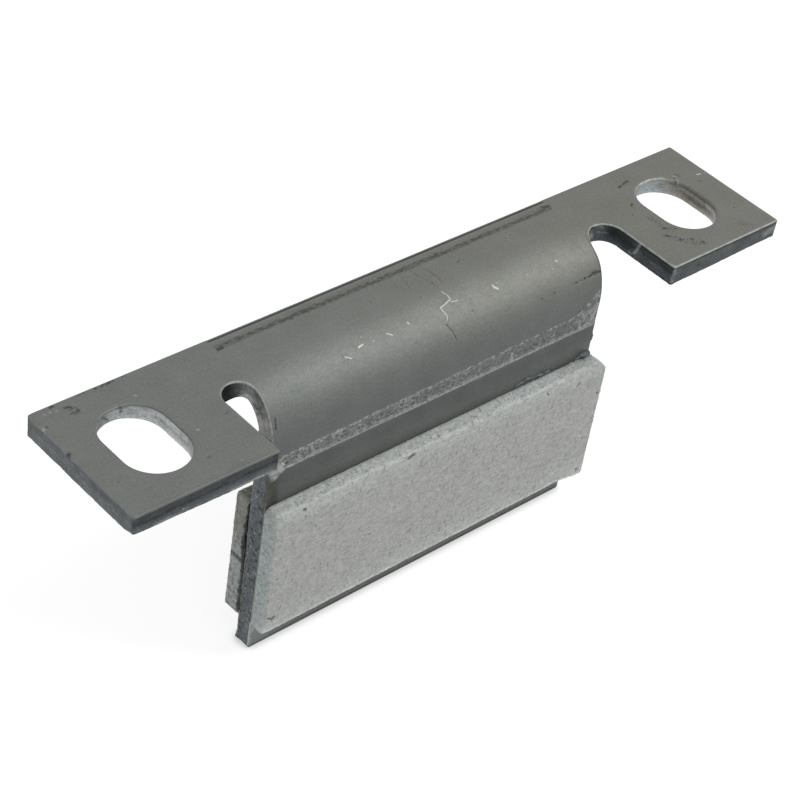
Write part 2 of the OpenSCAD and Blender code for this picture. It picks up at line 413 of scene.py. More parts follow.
# Worn or raised patches, duller than the pale marks
WORN_MARKS = as_marks(2, [
    (0.26, 0.02, -58.1, 6.4), (0.2, 0.02, -57.25, 6.45), (0.26, 0.02, -56.4, 6.3),
    (0.16, 0, -59.8, 4.4, -59.9, 3.9), (0.24, 0, -46.05, 3.3), (0.24, 0.01, -43.3, -6.4),
    (0.2, 0, -42.2, -14.1), (0.36, -0.06, -31, -14.3, -30.5, -15.9),
    (0.22, -0.08, -28.3, -17.15, -27.2, -17.3), (0.22, -0.06, -28.6, -14.9),
    (0.18, -0.03, -27.6, -15.7, -27.2, -15.3), (0.18, -0.03, -26.4, -16, -26, -16.6),
    (0.18, -0.03, -24.2, -15.4, -23.7, -16.2), (0.18, -0.03, -20.4, -15.3, -19.9, -16.1),
    (0.24, -0.03, 27.3, -13.9, 28, -13.6), (0.3, -0.03, 28.9, -12.7, 29.4, -12.9),
    (0.26, -0.03, 30.2, -12, 30.6, -11.5), (0.24, -0.03, 31.1, -11.2),
    (0.42, -0.04, 31.1, -13.4, 30.9, -15, 30.3, -16.3), (0.3, -0.03, 28.4, -17, 29.7, -16.6, 31, -16.1),
    (0.2, -0.02, 27.9, -15.3, 28.2, -16.9), (0.25, -0.04, -25.5, -15.2, -24.8, -15.6),
    (0.22, -0.04, -22.9, -14.9, -22.2, -15.5), (0.25, -0.03, 13.9, -15.6, 14.2, -17),
    (0.14, 0, -31.1, -45.3, -31.15, -49.9), (0.3, 0, -30.6, -46.3, -30.9, -47.4),
    (0.14, 0, 50.4, 3, 51.6, 2.95, 52.7, 2.5, 53.5, 1.9), (0.16, 0, 55.4, 1.5, 55, 0.5, 54.5, -0.4),
])

# Marks on the sheared walls, their points in the frame's own x, y and z. Each has its strength.
WALL_DARK = as_marks(3, [
    (0.24, 0.8, -60, 3, -0.19), (0.2, 0.5, -60, 11.8, -0.3, -60, 11.8, -2.8),
    (0.2, 0.8, -49.17, 6.93, -0.38, -48.11, 6.63, -0.47),
    (0.26, 0.7, -51.9, 6.62, -0.42, -50.82, 6.93, -1.65),
    (0.16, 0.6, -48.96, 6.89, -1.55, -46.17, 5.22, -1.88), (0.22, 0.6, -45, 1.05, -1.11),
    (0.26, 0.8, -49.06, 6.91, -0.1, -48.85, 6.87, -1.15), (0.6, 0.3, -54.2, 4.7, -0.9, -52.9, 6, -1.2),
    (0.5, 0.4, -60, -11.1, -1.3, -59, -11.1, -1.4), (0.25, 0.7, 60.95, -11.1, -0.2, 60.4, -11.1, -0.3),
    (0.2, 0.8, 51.62, 6.73, -0.72, 53.1, 5.92, -0.95),
    (1.15, 0.8, 37.4, 1.3, -1.3, 37.7, -0.2, -1.4, 37.7, -2, -1.4),
    (0.3, 0.8, 37.7, -2.6, -1.6, 37.7, -3.3, -1.4),
    (1.15, 0.62, -31.5, 0.3, -1.5, -31.5, -0.5, -2.6, -31.5, -1.1, -3.6),
    (0.5, 1, -31.36, 0.72, -3.3, -31.38, 0.38, -3.46), (0.4, 1, -31.42, -0.05, -3.45),
    (0.46, 1, -31.33, -0.15, -4.28), (0.3, 0.9, -31.25, -0.25, -5.5, -31.25, -0.3, -5.8),
    (0.3, 0.8, -31.39, -0.5, -6.27), (0.3, 0.8, -32.3, 3.25, -3.1, -32.95, 3.45, -3.05),
    (0.5, 0.45, -33.4, 3.5, -2.4, -32.5, 3.2, -1.7), (0.2, 0.5, 43.2, -11.1, -1.62, 44.6, -11.1, -2.33),
    (0.3, 1, -31.3, -2.45, -19.37, -31.3, -3.1, -19.43),
    (0.2, 0.8, -31.3, -3.3, -21.2, -31.3, -3.45, -22.4),
    (0.22, 0.7, -31.3, -3.4, -23.6, -31.3, -3.3, -24.4),
    (0.2, 0.7, -31.3, -3.45, -25.6, -31.3, -3.4, -26.8), (0.2, 0.7, -31.3, -2.2, -22.9),
    (0.24, 0.7, -31.3, -1.6, -24.1), (0.14, 0.7, -31.3, -3.3, -32, -31.3, -3.4, -35),
    (0.2, 0.9, 31.7, -3.55, -15, 31.7, -3.6, -16.6),
])
WALL_BROWN = as_marks(3, [
    (0.4, 0.9, -60, -11.1, -1.93), (0.4, 0.7, -60, -10.7, -2.27),
    (0.3, 0.8, -31.48, -1.13, -1.46, -31.4, -0.9, -1.9), (0.5, 0.6, 55, 1.55, -1.42, 55, -0.63, -1.6),
    (0.25, 0.4, -45, 2.94, -1.46),
])
WALL_PALE = as_marks(3, [
    (0.3, 0.35, -56.4, -11.1, -2.9, -52.6, -11.1, -3.1), (0.16, 0.7, -52.2, -11.1, -2.4),
    (0.24, 0.75, -44.5, -11.1, -3.25, -41.3, -11.1, -3.2, -37.5, -11.1, -3.3),
    (0.24, 0.5, -50.03, 7, -0.88, -49.44, 6.97, -0.62),
    (0.3, 0.35, -47.27, 6.19, -1.22, -46.38, 5.45, -1.1),
    (0.3, 0.5, -45.97, 4.96, -0.76, -45.59, 4.36, -1.01), (0.25, 0.5, -45, 1.43, -1.55),
    (0.25, 0.4, -45, -0.27, -1.5, -45, -1.82, -2.07), (0.3, 0.15, -45, -2.89, -2.13),
    (0.25, 0.5, 48.03, 6.6, -0.48), (0.22, 0.35, 49.42, 6.97, -0.3, 51.21, 6.85, -0.46),
    (0.3, 0.5, 52.26, 6.46, -1.53, 53.81, 5.24, -1.16), (0.3, 0.6, 55, -1.7, -0.8, 55, -3.24, -1.1),
    (0.4, 0.7, 54.83, -3.31, -0.83, 54.54, -4.09, -1.18, 54.5, -4.18, -2.05),
    (0.2, 0.4, 34.97, 2.89, -0.21, 36.31, 2.43, -0.52), (0.35, 0.3, 34.4, 2.89, -0.9, 34.6, 2.9, -1.7),
    (0.16, 0.35, 35.58, 2.77, -1.37, 36.82, 2.02, -1.56), (0.6, 0.6, 34.54, 2.9, -1.8, 33.9, 2.8, -1.7),
    (0.2, 0.9, 37.7, -2.2, -2.5, 37.7, -2.9, -2.65, 37.7, -3.55, -1.9, 37.7, -3.75, -0.9, 37.7, -3.95, -0.2),
    (0.2, 0.3, 37.7, -11.1, -0.34, 37.7, -10.87, -2.1), (0.34, 1, -32.88, 3.44, -2.81, -32.74, 3.46, -3.05),
    (0.34, 1, -32.06, 2.97, -2.92), (0.28, 1, -31.9, 2.75, -2.78), (0.2, 0.9, -31.9, 2.95, -3.2),
    (0.4, 1, -31.63, 2.2, -2.65), (0.3, 0.9, -31.47, 1.5, -2.72),
    (0.26, 0.35, 37.9, -11.1, -0.4, 38.1, -11.1, -1.4), (0.26, 0.6, 37.8, -11.1, -2.6),
    (0.7, 0.36, 60.9, -11.1, -1.3, 58.6, -11.1, -1.6), (0.16, 0.8, -31.3, -3.62, -40.9, -31.3, -3.6, -45.6),
    (0.3, 0.2, -31.3, -2.9, -42, -31.3, -2.5, -44),
])


def mark_strength(points, line, half_width):
    """How much of a mark lies at each point: 1 on its line, 0 beyond its sides."""
    line = np.array(line if len(line) > 1 else line * 2, float)
    away = np.full(len(points), np.inf)
    for a, b in zip(line[:-1], line[1:]):
        way = b - a
        share = np.clip(((points - a) @ way) / max(way @ way, 1e-12), 0, 1)
        away = np.minimum(away, np.linalg.norm(points - a - share[:, None] * way, axis=1))
    return 1 - smooth(away, 0.35 * half_width, 1.3 * half_width)


def wall_strength(places, marks, seed):
    """How much of the walls' marks lies at each place, with ragged sides."""
    ragged = 1 + 0.4 * ripple(places, 1.7, seed)
    total = np.zeros(len(places))
    for line, half_width, strength in marks:
        total = np.maximum(total, strength * mark_strength(places, line, half_width * ragged))
    return total


def mark_points(marks):
    """Extra skin points, so that each mark has points enough to show."""
    made = []
    for line, half_width, _ in marks:
        step = max(0.09, 0.7 * half_width)
        ends = line if len(line) > 1 else [line[0], (line[0][0] + 0.01, line[0][1])]
        for a, b in zip(ends[:-1], ends[1:]):
            a, b = np.array(a), np.array(b)
            length = np.linalg.norm(b - a)
            way = (b - a) / length
            across = np.array([-way[1], way[0]])
            count = max(1, round((length + 2.4 * half_width) / step))
            for k in range(count + 1):
                along = -1.2 * half_width + (length + 2.4 * half_width) * k / count
                for share in (-1.3, -0.8, -0.35, 0, 0.35, 0.8, 1.3):
                    made.append(a + way * along + across * share * half_width)
    return np.array(made)


def spaced(low, high, step):
    return np.linspace(low, high, max(2, round((high - low) / step) + 1))


def grid(columns, rows):
    x, s = np.meshgrid(columns, rows)
    return np.column_stack([x.ravel(), s.ravel()])


def thinned(points, extra, clear):
    """The extra points, and those of the grid that don't crowd them."""
    tree = point_tree(extra)
    keep = [tree.find((x, s, 0))[2] > clear for x, s in points.tolist()]
    return np.concatenate([points[keep], extra])


def without_doubles(points, clear):
    """Points with none closer than clear to an earlier one."""
    cells, kept = set(), []
    for x, s in points.tolist():
        cell = (round(x / clear), round(s / clear))
        if cell not in cells:
            cells.add(cell)
            kept.append((x, s))
    return np.array(kept)


def with_zero(points):
    """Flat points with a third coordinate of 0, for the noise."""
    return np.column_stack([points, np.zeros(len(points))])


def between(value, low, high, soft):
    """1 where value lies between low and high, fading over soft on both sides."""
    return smooth(value, low - soft, low + soft) * (1 - smooth(value, high - soft, high + soft))


def blank_loops():
    """The blank's outline and its two slots."""
    left_round = (FOLD_LEFT - WING_LEFT) / 2
    loops = [outline([
        (STEEL_LOW[0], S_FRONT, CORNER, "left_front"),
        (WING_LEFT, S_FRONT, CORNER, "left_wing_inside"),
        (WING_LEFT, S_NOTCH + NOTCH_BACK, left_round, "left_notch"),
        (FOLD_LEFT, S_NOTCH + NOTCH_BACK, left_round, "tongue_left_high"),
        (FOLD_LEFT, -ARC + 1.5, CORNER, "tongue_left"),
        (TONGUE_LEFT, -ARC - 1.0, CORNER, "tongue_left"),
        (TONGUE_LEFT, S_TIP, CORNER, "tongue_tip"),
        (TONGUE_RIGHT, S_TIP, CORNER, "tongue_right"),
        (TONGUE_RIGHT, S_NOTCH, NOTCH_W / 2, "right_notch"),
        (WING_RIGHT, S_NOTCH, NOTCH_W / 2, "right_wing_inside"),
        (WING_RIGHT, S_FRONT, CORNER, "right_front"),
        (STEEL_HIGH[0], S_FRONT, CORNER, "right_end"),
        (STEEL_HIGH[0], S_BACK, CORNER, "back"),
        (STEEL_LOW[0], S_BACK, CORNER, "left_end"),
    ], EDGE_STEP)]
    # Each slot is a little smaller at its left side, its right side and its front end
    for x, kind, off_left, off_right, off_front in ((-SLOT_PITCH / 2, "slot_", 0.05, 0.1, 0.2),
                                                    (SLOT_PITCH / 2, "worn_slot_", 0.4, 0.0, 0.62)):
        left, right = x - SLOT_W / 2 + off_left, x + SLOT_W / 2 - off_right
        front, back = S_SLOT - SLOT_L / 2 + off_front, S_SLOT + SLOT_L / 2
        round_front = (right - left) / 2
        round_back = round_front * 0.94
        loops.append(hole(outline([
            (left, front, round_front, kind + "front"), (right, front, round_front, kind + "wall"),
            (right, back, round_back, kind + "back"), (left, back, round_back, kind + "left")], EDGE_STEP)))
    return loops


def burr_drop(points):
    """How far the burr hangs below the sheet at the wings' outer edges, in millimetres."""
    x, s = points.T
    level = with_zero(points)
    front = BURR_FRONT * (1 - smooth(s, S_FRONT + 0.2, S_FRONT + 0.9))
    end = BURR_END * (1 - smooth(x, STEEL_LOW[0] + 0.2, STEEL_LOW[0] + 0.9))
    left = front * (1 - smooth(x, WING_LEFT - 0.2, WING_LEFT + 0.3)) * (0.14 + 0.3 * smooth(x, -58, -43))
    right = front * smooth(x, WING_RIGHT - 0.3, WING_RIGHT + 0.2) * 0.3 * (1 - smooth(x, 44, 57))
    off_corner = smooth(np.hypot(x - STEEL_LOW[0], s - S_FRONT), 0.4, 2.0)
    uneven = 1 + 0.2 * ripple(level, 0.5, 41) + 0.15 * ripple(level, 1.5, 42)
    return off_corner * np.maximum(np.maximum(end, left), right) * uneven


def punched_rows(loop):
    """Rings down a punched edge: the rolled rim, the burnished wall, then the broken part and its burr."""
    points, normals = loop["points"], loop["normals"]
    level = with_zero(points)
    drop = burr_drop(points)
    wander = ripple(level, 0.35, 3) * 0.5 + 0.5
    roll = loop["looks"][:, ROLL_LOOK] * (0.62 + 0.38 * wander)
    down = loop["looks"][:, ROLL_LOOK] * 1.2 * (0.7 + 0.5 * wander)
    shear = 1.5 + 0.45 * ripple(level, 0.22, 5) + 0.2 * ripple(level, 0.9, 6)
    rows = []

    def ring(inset, depth):
        rows.append(np.column_stack([points - normals * np.asarray(inset).reshape(-1, 1), depth]))

    for angle in (0, 25, 50, 72, 90):
        a = math.radians(angle)
        ring(roll * (1 - math.sin(a)), down * (1 - math.cos(a)))
    skin_rows = len(rows)
    count = 12
    for k in range(1, count + 1):
        depth = down + (SHEET - 0.05 - down) * k / count
        at = np.column_stack([points, depth])
        broken = smooth(depth, shear - 0.15, shear + 0.25)
        burnish = 0.02 * (ripple(at * np.array([1, 1, 0.15]), 1.7, 7) + 1)
        fracture = 0.03 * (ripple(at, 1.1, 8) + 0.6) + 0.025 * (ripple(at, 2.3, 9) + 0.6)
        lean = np.clip((depth - loop["break_from"]) / (SHEET - loop["break_from"]), 0, 1)
        flared = loop["looks"][:, BREAK_LOOK] * lean
        ring(burnish * (1 - broken) + fracture * broken + flared, depth + drop * smooth(depth, 1.2, SHEET))
    last = rows[-1]
    inset = np.einsum("ij,ij->i", points - last[:, :2], normals)
    ring(inset + 0.05, np.full(len(points), SHEET))
    return rows, skin_rows


def on_tongue(x):
    """1 over the tongue's width, 0 on the wings."""
    return between(x, TONGUE_LEFT - 1, TONGUE_RIGHT + 1, 0.5)


def press_marks(x, s):
    """Depth of the marks that the press left on the outer face: the strip at the back, the scuffed band."""
    level = with_zero(np.column_stack([x, s]))
    inside = between(x, *STRIP_ENDS, 0.2)
    edge = STRIP_S + 0.1 * ripple(level, 0.5, 21)
    strip = inside * smooth(s, edge - 0.25, edge + 0.15) * (0.05 + 0.012 * ripple(level, 0.6, 22))
    strip += inside * 0.02 * (1 - smooth(np.abs(s - GROOVE_S), 0.05, 0.22))
    top = BAND_TOP_S + BAND_SLOPE * x + 0.25 * ripple(level, 0.25, 23)
    low = BAND_LOW_S + 0.12 * ripple(level, 0.12, 24)
    band = smooth(s, low, low + 0.25) * (1 - smooth(s, top - 0.4, top + 0.1))
    rough = 0.03 * ripple(level, 1.3, 25) + 0.022 * ripple(level, 2.6, 26)
    ridge = np.exp(-((s - low + 0.03) / 0.2) ** 2) * (0.06 + 0.03 * ripple(level, 0.7, 27))
    ridge += np.exp(-((s - top - 0.05) / 0.22) ** 2) * (0.022 + 0.03 * ripple(level, 1.1, 28))
    return strip + on_tongue(x) * (s < -ARC + 0.5) * (band * (0.035 + rough) - ridge)


def bracket(rolled, sheared):
    """The folded sheet, with its marks as depths in the mesh and as values on its points."""
    groups = {"dark": DARK_MARKS, "brown": BROWN_MARKS, "pale": PALE_MARKS, "worn": WORN_MARKS,
              "smeared": SMEARED, "specked": SPECKLED}
    columns = spaced(STEEL_LOW[0], STEEL_HIGH[0], 0.5)
    strip_rows = np.array([STRIP_S - 0.25, STRIP_S, STRIP_S + 0.2, GROOVE_S - 0.2, GROOVE_S, GROOVE_S + 0.2])
    flange_rows = np.concatenate([spaced(S_FRONT, S_BACK, 0.5), strip_rows])
    tongue_rows = np.concatenate([spaced(S_FRONT, BAND_TOP_S + 0.9, 0.3),
                                  spaced(BAND_LOW_S - 0.7, BAND_TOP_S + 0.7, 0.16),
                                  spaced(-23, BAND_LOW_S - 0.9, 0.5), spaced(S_TIP, -23.5, 0.8)])
    tongue_columns = spaced(TONGUE_LEFT + 0.3, TONGUE_RIGHT - 0.3, 0.42)
    points = np.concatenate([grid(columns, flange_rows), grid(tongue_columns, tongue_rows)])
    by_marks = mark_points([mark for group in groups.values() for mark in group])
    points = thinned(without_doubles(points, 0.12), without_doubles(by_marks, 0.05), 0.12)
    inner = np.concatenate([grid(spaced(STEEL_LOW[0], STEEL_HIGH[0], 1.0), spaced(S_FRONT, S_BACK, 0.8)),
                            grid(spaced(TONGUE_LEFT, TONGUE_RIGHT, 1.0), spaced(S_TIP, S_FRONT - 0.8, 0.8))])
    made = slab(blank_loops(), punched_rows, points, inner, clear=0.24)
    flat, looks = made["flat"], made["looks"]
    x, s, t = flat.T
    level = with_zero(flat[:, :2])
    depth = 0.008 * (ripple(level, 0.12, 1) + 1) + 0.004 * (ripple(level, 0.7, 2) + 1) + press_marks(x, s)
    values = {}
    for label, group in groups.items():
        strength = np.zeros(len(x))
        for line, half_width, lift in group:
            here = mark_strength(flat[:, :2], line, half_width * (PALE_NARROWED if label == "pale" else 1.0))
            strength = np.maximum(strength, here * (0.5 if label == "dark" and lift < 0.015 else 1.0))
            depth = depth + here * lift
        values[label] = strength * (t < 0.5)
    depth = np.where(s > -0.5, np.maximum(depth, 0), depth)
    down = looks[:, ROLL_LOOK] * 1.45 + 0.03
    fade = 1 - smooth(t / down, 0.1, 1.0)
    t = t + depth * np.where(t < 0.01, 1, fade * (t < down))
    places = np.clip(fold(x, s, t), STEEL_LOW, STEEL_HIGH)
    for label, marks, seed in (("dark", WALL_DARK, 31), ("brown", WALL_BROWN, 32), ("pale", WALL_PALE, 33)):
        values[label] = np.maximum(values[label], wall_strength(places, marks, seed) * (flat[:, 2] > 0.02))
    values["sheet"] = np.column_stack([x, s, t])
    values["edge"] = np.maximum(made["gap"], 0)
    values["cut"] = np.column_stack([made["run"], flat[:, 2], np.zeros(len(x))])
    values["wall"] = looks[:, WALL_LOOKS]
    # the middle value is the rim's painted highlight, or painted shade where negative
    values["tear_rim_light_brown"] = looks[:, [TEAR_LOOK, RIM_LIGHT_LOOK, BROWN_LOOK]]
    piece = mesh_piece("folded_bracket", places, made["faces"], [rolled, sheared], made["finish"], values)
    return give(piece, "steel", "bracket")


# Sizes of the linings and their glue
SNIP = 1.75
FRONT_SAG = 1.1
SAG_RUN = 5.5
INTO_GLUE = np.array([0, 0.35, 0])
# How far past the solid strip the felt's outline runs, so that its frayed edge lies where it should
FRAYED = 0.13
# Spacing of the points along the felt's and the glue's outlines
FELT_STEP = 0.3
GLUE_STEP = 0.4
# Nap and fringe: fibres on a square metre, their length in metres, their lift and their reach from the edge
NAP = (5.0e5, 0.0007, 0.05, 99.0)
FRINGE = (4.0e6, 0.0005, 0.3, 0.3)
# Spacing of a glue bead's rings in metres, and the scale of its lumps
BEAD_STEP = 0.00014
LUMP_SCALE = 900.0


def lining_outline(low, high, sag, snip, crisp):
    """The strip's outline in x and z: its right end may be snipped at the top and hang at the bottom.

    A crisp strip has hardly rounded edges all round.
    """
    top, side = ("felt_crisp", "felt_crisp") if crisp else ("felt_top", "felt_side")
    left, right = low[0] - FRAYED - (0.1 if crisp else 0.0), high[0] + FRAYED + (0.2 if snip > 0 else 0.0)
    bottom, top_z = low[2] + sag - FRAYED - 0.05, high[2] + FRAYED + 0.15
    corners = [(left, bottom, 0.5, "felt_bottom")]
    if sag > 0:
        corners += [(right - SAG_RUN, bottom, 3.0, "felt_bottom"), (right, low[2] + 0.05, 0.5, "felt_right")]
    else:
        corners += [(right, bottom, 0.5, side)]
    if snip > 0:
        corners += [(right, top_z - snip, 0.9, "felt_right"), (right - snip, top_z, 0.9, top)]
    else:
        corners += [(right, top_z, 0.5, top)]
    corners += [(left, top_z, 0.5 if crisp else 1.1, side)]
    return outline(corners, FELT_STEP)


def felt_rows(thickness, lip, seed):
    """Rings round the edge of a felt strip: soft edges, and sides that bulge and fray a little.

    lip is how far the strip's rim leans past its back, on to the steel.
    """
    def rows_of(loop):
        points, normals = loop["points"], loop["normals"]
        level = with_zero(points)
        wave = 0.03 * (ripple(level, 0.3, seed) + 1) + 0.03 * (ripple(level, 1.2, seed + 1) + 1)
        rows = []
        bend = loop["looks"][:, ROLL_LOOK]
        angles = np.radians([0, 18, 36, 54, 72, 90])
        profile = [(bend * (1 - math.sin(a)), 1.3 * bend * (1 - math.cos(a))) for a in angles]
        low, high = 1.3 * bend, 0.9 * thickness
        profile += [(0.02, low + (high - low) * share) for share in (0.2, 0.4, 0.6, 0.8, 1)]
        on_steel = thickness + lip
        profile += [(0.02, thickness - 0.12), (0, on_steel), (0.26, on_steel), (0.34, thickness)]
        for inset, depth in profile:
            at = np.column_stack([points, depth * np.ones(len(points))])
            fray = 0.03 * (ripple(at, 1.7, seed + 2) + 1) + 0.015 * (ripple(at, 3.4, seed + 3) + 1)
            at[:, :2] -= normals * (inset + wave + fray)[:, None]
            rows.append(at)
        return rows, len(rows) + 1
    return rows_of


# Marks on the front lining, and those across the rear lining's left end, their points as x and z
LINING_MARKS = as_marks(2, [
    (0.22, 0.06, -30.4, -38.5, -30, -38.7), (0.28, 0.08, -29.7, -39, -29.3, -38.8),
    (0.16, 0.03, -29.7, -31.1), (0.15, 0.03, -22.6, -32.9), (0.3, 0.1, 33, -25.3),
    (0.28, 0.08, 32.3, -40.7), (0.15, 0.03, -8, -28.3), (0.35, 0.12, -6.9, -19.5, -6, -19.3),
    (0.2, 0.04, -25.8, -21.1), (0.3, 0.05, -26.3, -19.5, -26, -19.7),
    (0.12, 0.04, 20.9, -19.9, 21.3, -20.5), (0.16, 0.03, 27.6, -21.6, 28.3, -21.2),
    (0.1, 0.02, 15.6, -27.4), (0.11, 0.02, 4.2, -36.3),
])
END_MARKS = as_marks(2, [
    (0.45, 0, -31.9, -31, -31, -31.4), (0.12, 0, -31.9, -35.6),
])


def lining(name, node, low, high, material, fibre, sag, snip, face_y, way, lip, marks, reach, seed):
    """A felt strip and its loose fibres.

    face_y is its outer face, way is 1 where its depth runs to the back, and reach is how deep the marks go.
    """
    loop = lining_outline(low, high, sag, snip, snip == 0)
    skin = grid(spaced(low[0], high[0], FELT_STEP), spaced(low[2], high[2], FELT_STEP))
    skin = thinned(skin, without_doubles(mark_points(marks), 0.06), 0.12)
    under = grid(spaced(low[0], high[0], 1.2), spaced(low[2], high[2], 1.2))
    made = slab([loop], felt_rows(high[1] - low[1], lip, seed), skin, under, clear=0.18)
    x, z, t = made["flat"].T
    level = np.column_stack([x, z, t])
    fuzz = 0.02 * (ripple(level, 0.8, seed + 4) + 1) + 0.022 * (ripple(level, 2.0, seed + 5) + 1)
    fuzz += 0.025 * (ripple(level, 0.18, seed + 6) + 1)
    dark = np.zeros(len(x))
    for line, half_width, depth in marks:
        here = mark_strength(made["flat"][:, :2], line, half_width) * (t < reach)
        dark = np.maximum(dark, here)
        fuzz += here * depth
    t = t + fuzz * (1 - smooth(t, 0.0, 0.7))
    places = np.column_stack([x, face_y + way * t, z])
    faces = made["faces"] if way > 0 else [face[::-1] for face in made["faces"]]
    values = {"dark": dark, "edge": np.maximum(made["gap"], 0)}
    piece = mesh_piece(name, places, faces, [material], None, values)
    # A thin nap over the whole strip, and a dense fringe round its edge
    for kind, looks, number in (("_nap", NAP, seed), ("_fringe", FRINGE, seed + 1)):
        settings = dict(zip(("Density", "Length", "Lift", "Edge Reach"), looks))
        settings.update({"Back": (0.0, float(way), 0.0), "Seed": number, "Material": fibre})
        give(grown(name + kind, piece, LOOSE_FIBRES, settings), "felt")
    return give(piece, "felt", node)


def glue_film(name, node, low, high, spread, material, seed):
    """A film of glue with a lumpy outline. spread is how far each side has been squeezed out."""
    left, right = low[0] - spread[0], high[0] + spread[1]
    bottom, top = low[2] - spread[2], high[2] + spread[3]
    corners = ((left, bottom), (right, bottom), (right, top), (left, top))
    loop = outline([(x, z, 0.5, "glue") for x, z in corners], GLUE_STEP)

    def rows_of(loop):
        points, normals = loop["points"], loop["normals"]
        level = with_zero(points)
        wave = 0.12 * (ripple(level, 0.5, seed) + 1) + 0.06 * (ripple(level, 1.3, seed + 1) + 1)
        rows = []
        for inset, share in ((0.12, 0), (0.03, 0.15), (0, 0.5), (0.03, 0.85), (0.12, 1)):
            depth = np.full(len(points), (high[1] - low[1]) * share)
            rows.append(np.column_stack([points - normals * (inset + wave)[:, None], depth]))
        return rows, len(rows) + 1

    inner = grid(spaced(low[0], high[0], 1.6), spaced(low[2], high[2], 1.6))
    made = slab([loop], rows_of, inner, inner, clear=0.5)
    x, z, t = made["flat"].T
    piece = mesh_piece(name, np.column_stack([x, low[1] + t, z]), made["faces"], [material])
    return give(piece, "glue", node)


def glue_bead(name, lumps, material, seed, *points):
    """A lumpy run of squeezed-out glue. Each point is its x, y, z and the bead's radius, in millimetres."""
    points = np.array(points, float)
    total = np.concatenate([[0], np.linalg.norm(np.diff(points[:, :3], axis=0), axis=1).cumsum()])
    at = np.linspace(0, total[-1], max(8, round(total[-1] / GLUE_STEP)) + 1)
    path = np.column_stack([np.interp(at, total, column) * MM for column in points.T])
    mesh = bpy.data.meshes.new("glue_path")
    mesh.from_pydata(path[:, :3].tolist(), [(i, i + 1) for i in range(len(path) - 1)], [])
    mesh.attributes.new("girth", "FLOAT", "POINT").data.foreach_set("value", np.ascontiguousarray(path[:, 3]))
    guide = put("glue_path", mesh)
    bead = grown(name, guide, LUMPY_BEAD, {"Lumps": lumps, "Seed": seed, "Material": material})
    bpy.data.objects.remove(guide)
    return give(bead, "glue")


class Value:
    """An output in a tree. Arithmetic on it adds the nodes that work it out."""

    def __init__(self, made, socket):
        self.made = made
        self.socket = socket

    def __mul__(self, other):
        return self.made.math("MULTIPLY", self, other)

    def __add__(self, other):
        return self.made.math("ADD", self, other)

    def __sub__(self, other):
        return self.made.math("SUBTRACT", self, other)

    def __rsub__(self, other):
        return self.made.math("SUBTRACT", other, self)


class Tree:
    """Adds nodes to a material or a node group and links them."""

    def __init__(self, tree):
        self.tree = tree

    def feed(self, socket, value):
        if isinstance(value, Value):
            self.tree.links.new(value.socket, socket)
        else:
            socket.default_value = value

    def node(self, kind, inputs=None, **settings):
        made = self.tree.nodes.new(kind)
        for name, value in settings.items():
            setattr(made, name, value)
        for name, value in (inputs or {}).items():
            self.feed(made.inputs[name], value)
        return made

    def value(self, kind, inputs=None, output=0, **settings):
        """One output of a new node."""
        return Value(self, self.node(kind, inputs, **settings).outputs[output])

    def math(self, operation, *values, clamp=False):
        return self.value("ShaderNodeMath", dict(enumerate(values)), operation=operation, use_clamp=clamp)

    def vectors(self, operation, first, second, output=0):
        return self.value("ShaderNodeVectorMath", {0: first, 1: second}, output, operation=operation)

    def most(self, first, *others):
        for other in others:
            first = self.math("MAXIMUM", first, other)
        return first

    def step(self, value, low, high, from_value=0.0, to_value=1.0):
        """A smooth step of value between low and high."""
        inputs = {"Value": value, "From Min": low, "From Max": high, "To Min": from_value, "To Max": to_value}
        return self.value("ShaderNodeMapRange", inputs, "Result", interpolation_type="SMOOTHSTEP")

    def between(self, value, low, high, soft):
        """1 where value lies between low and high, fading over soft on both sides."""
        return self.step(value, low - soft, low + soft) * self.step(value, high + soft, high - soft)

    def mix(self, factor, first, second, blend="MIX"):
        inputs = {0: factor, 6: first, 7: second}
        return self.value("ShaderNodeMix", inputs, 2, data_type="RGBA", blend_type=blend)

    def layers(self, colour, *layers):
        """Colours laid over one another, each by its own mask."""
        for mask, over in layers:
            colour = self.mix(mask, colour, over)
        return colour

    def grey(self, value):
        return self.value("ShaderNodeCombineColor", {"Red": value, "Green": value, "Blue": value})

    def scaled(self, colour, shade):
        """A colour made lighter or darker by a shade round 1."""
        return self.mix(1.0, colour, self.grey(shade), "MULTIPLY")

    def stretched(self, vector, factors):
        return self.vectors("MULTIPLY", vector, factors) if factors else vector

    def noise(self, vector, scale, detail=3.0, rough=0.6, factors=None):
        return self.value("ShaderNodeTexNoise", {"Vector": self.stretched(vector, factors), "Scale": scale,
                                                 "Detail": detail, "Roughness": rough}, "Fac")

    def patches(self, vector, scale, low, high, least=0.0, most=1.0, detail=3.0, rough=0.6, factors=None):
        """Patches from least to most, where a noise passes from low to high."""
        return self.step(self.noise(vector, scale, detail, rough, factors), low, high, least, most)

    def specks(self, vector, scale, level, softness, factors=None):
        return self.group(SPECKLE, self.stretched(vector, factors), scale, level, softness)[0]

    def split(self, vector):
        return self.outputs(self.node("ShaderNodeSeparateXYZ", {"Vector": vector}))

    def attribute(self, name, output="Fac"):
        return self.value("ShaderNodeAttribute", None, output, attribute_name=name)

    def place_mm(self):
        """The place on the object, in millimetres."""
        return self.stretched(self.value("ShaderNodeTexCoord", None, "Object"), (1 / MM, 1 / MM, 1 / MM))

    def seen(self):
        """1 for rays that come from the camera or by way of a shiny or clear surface."""
        path = self.node("ShaderNodeLightPath").outputs
        kinds = ("Is Camera Ray", "Is Glossy Ray", "Is Transmission Ray")
        return self.most(*[Value(self, path[kind]) for kind in kinds])

    def outputs(self, node):
        return [Value(self, socket) for socket in node.outputs]

    def group(self, group, *inputs):
        """The outputs of a node group, which is given its inputs in order."""
        return self.outputs(self.node("ShaderNodeGroup", dict(enumerate(inputs)), node_tree=group))


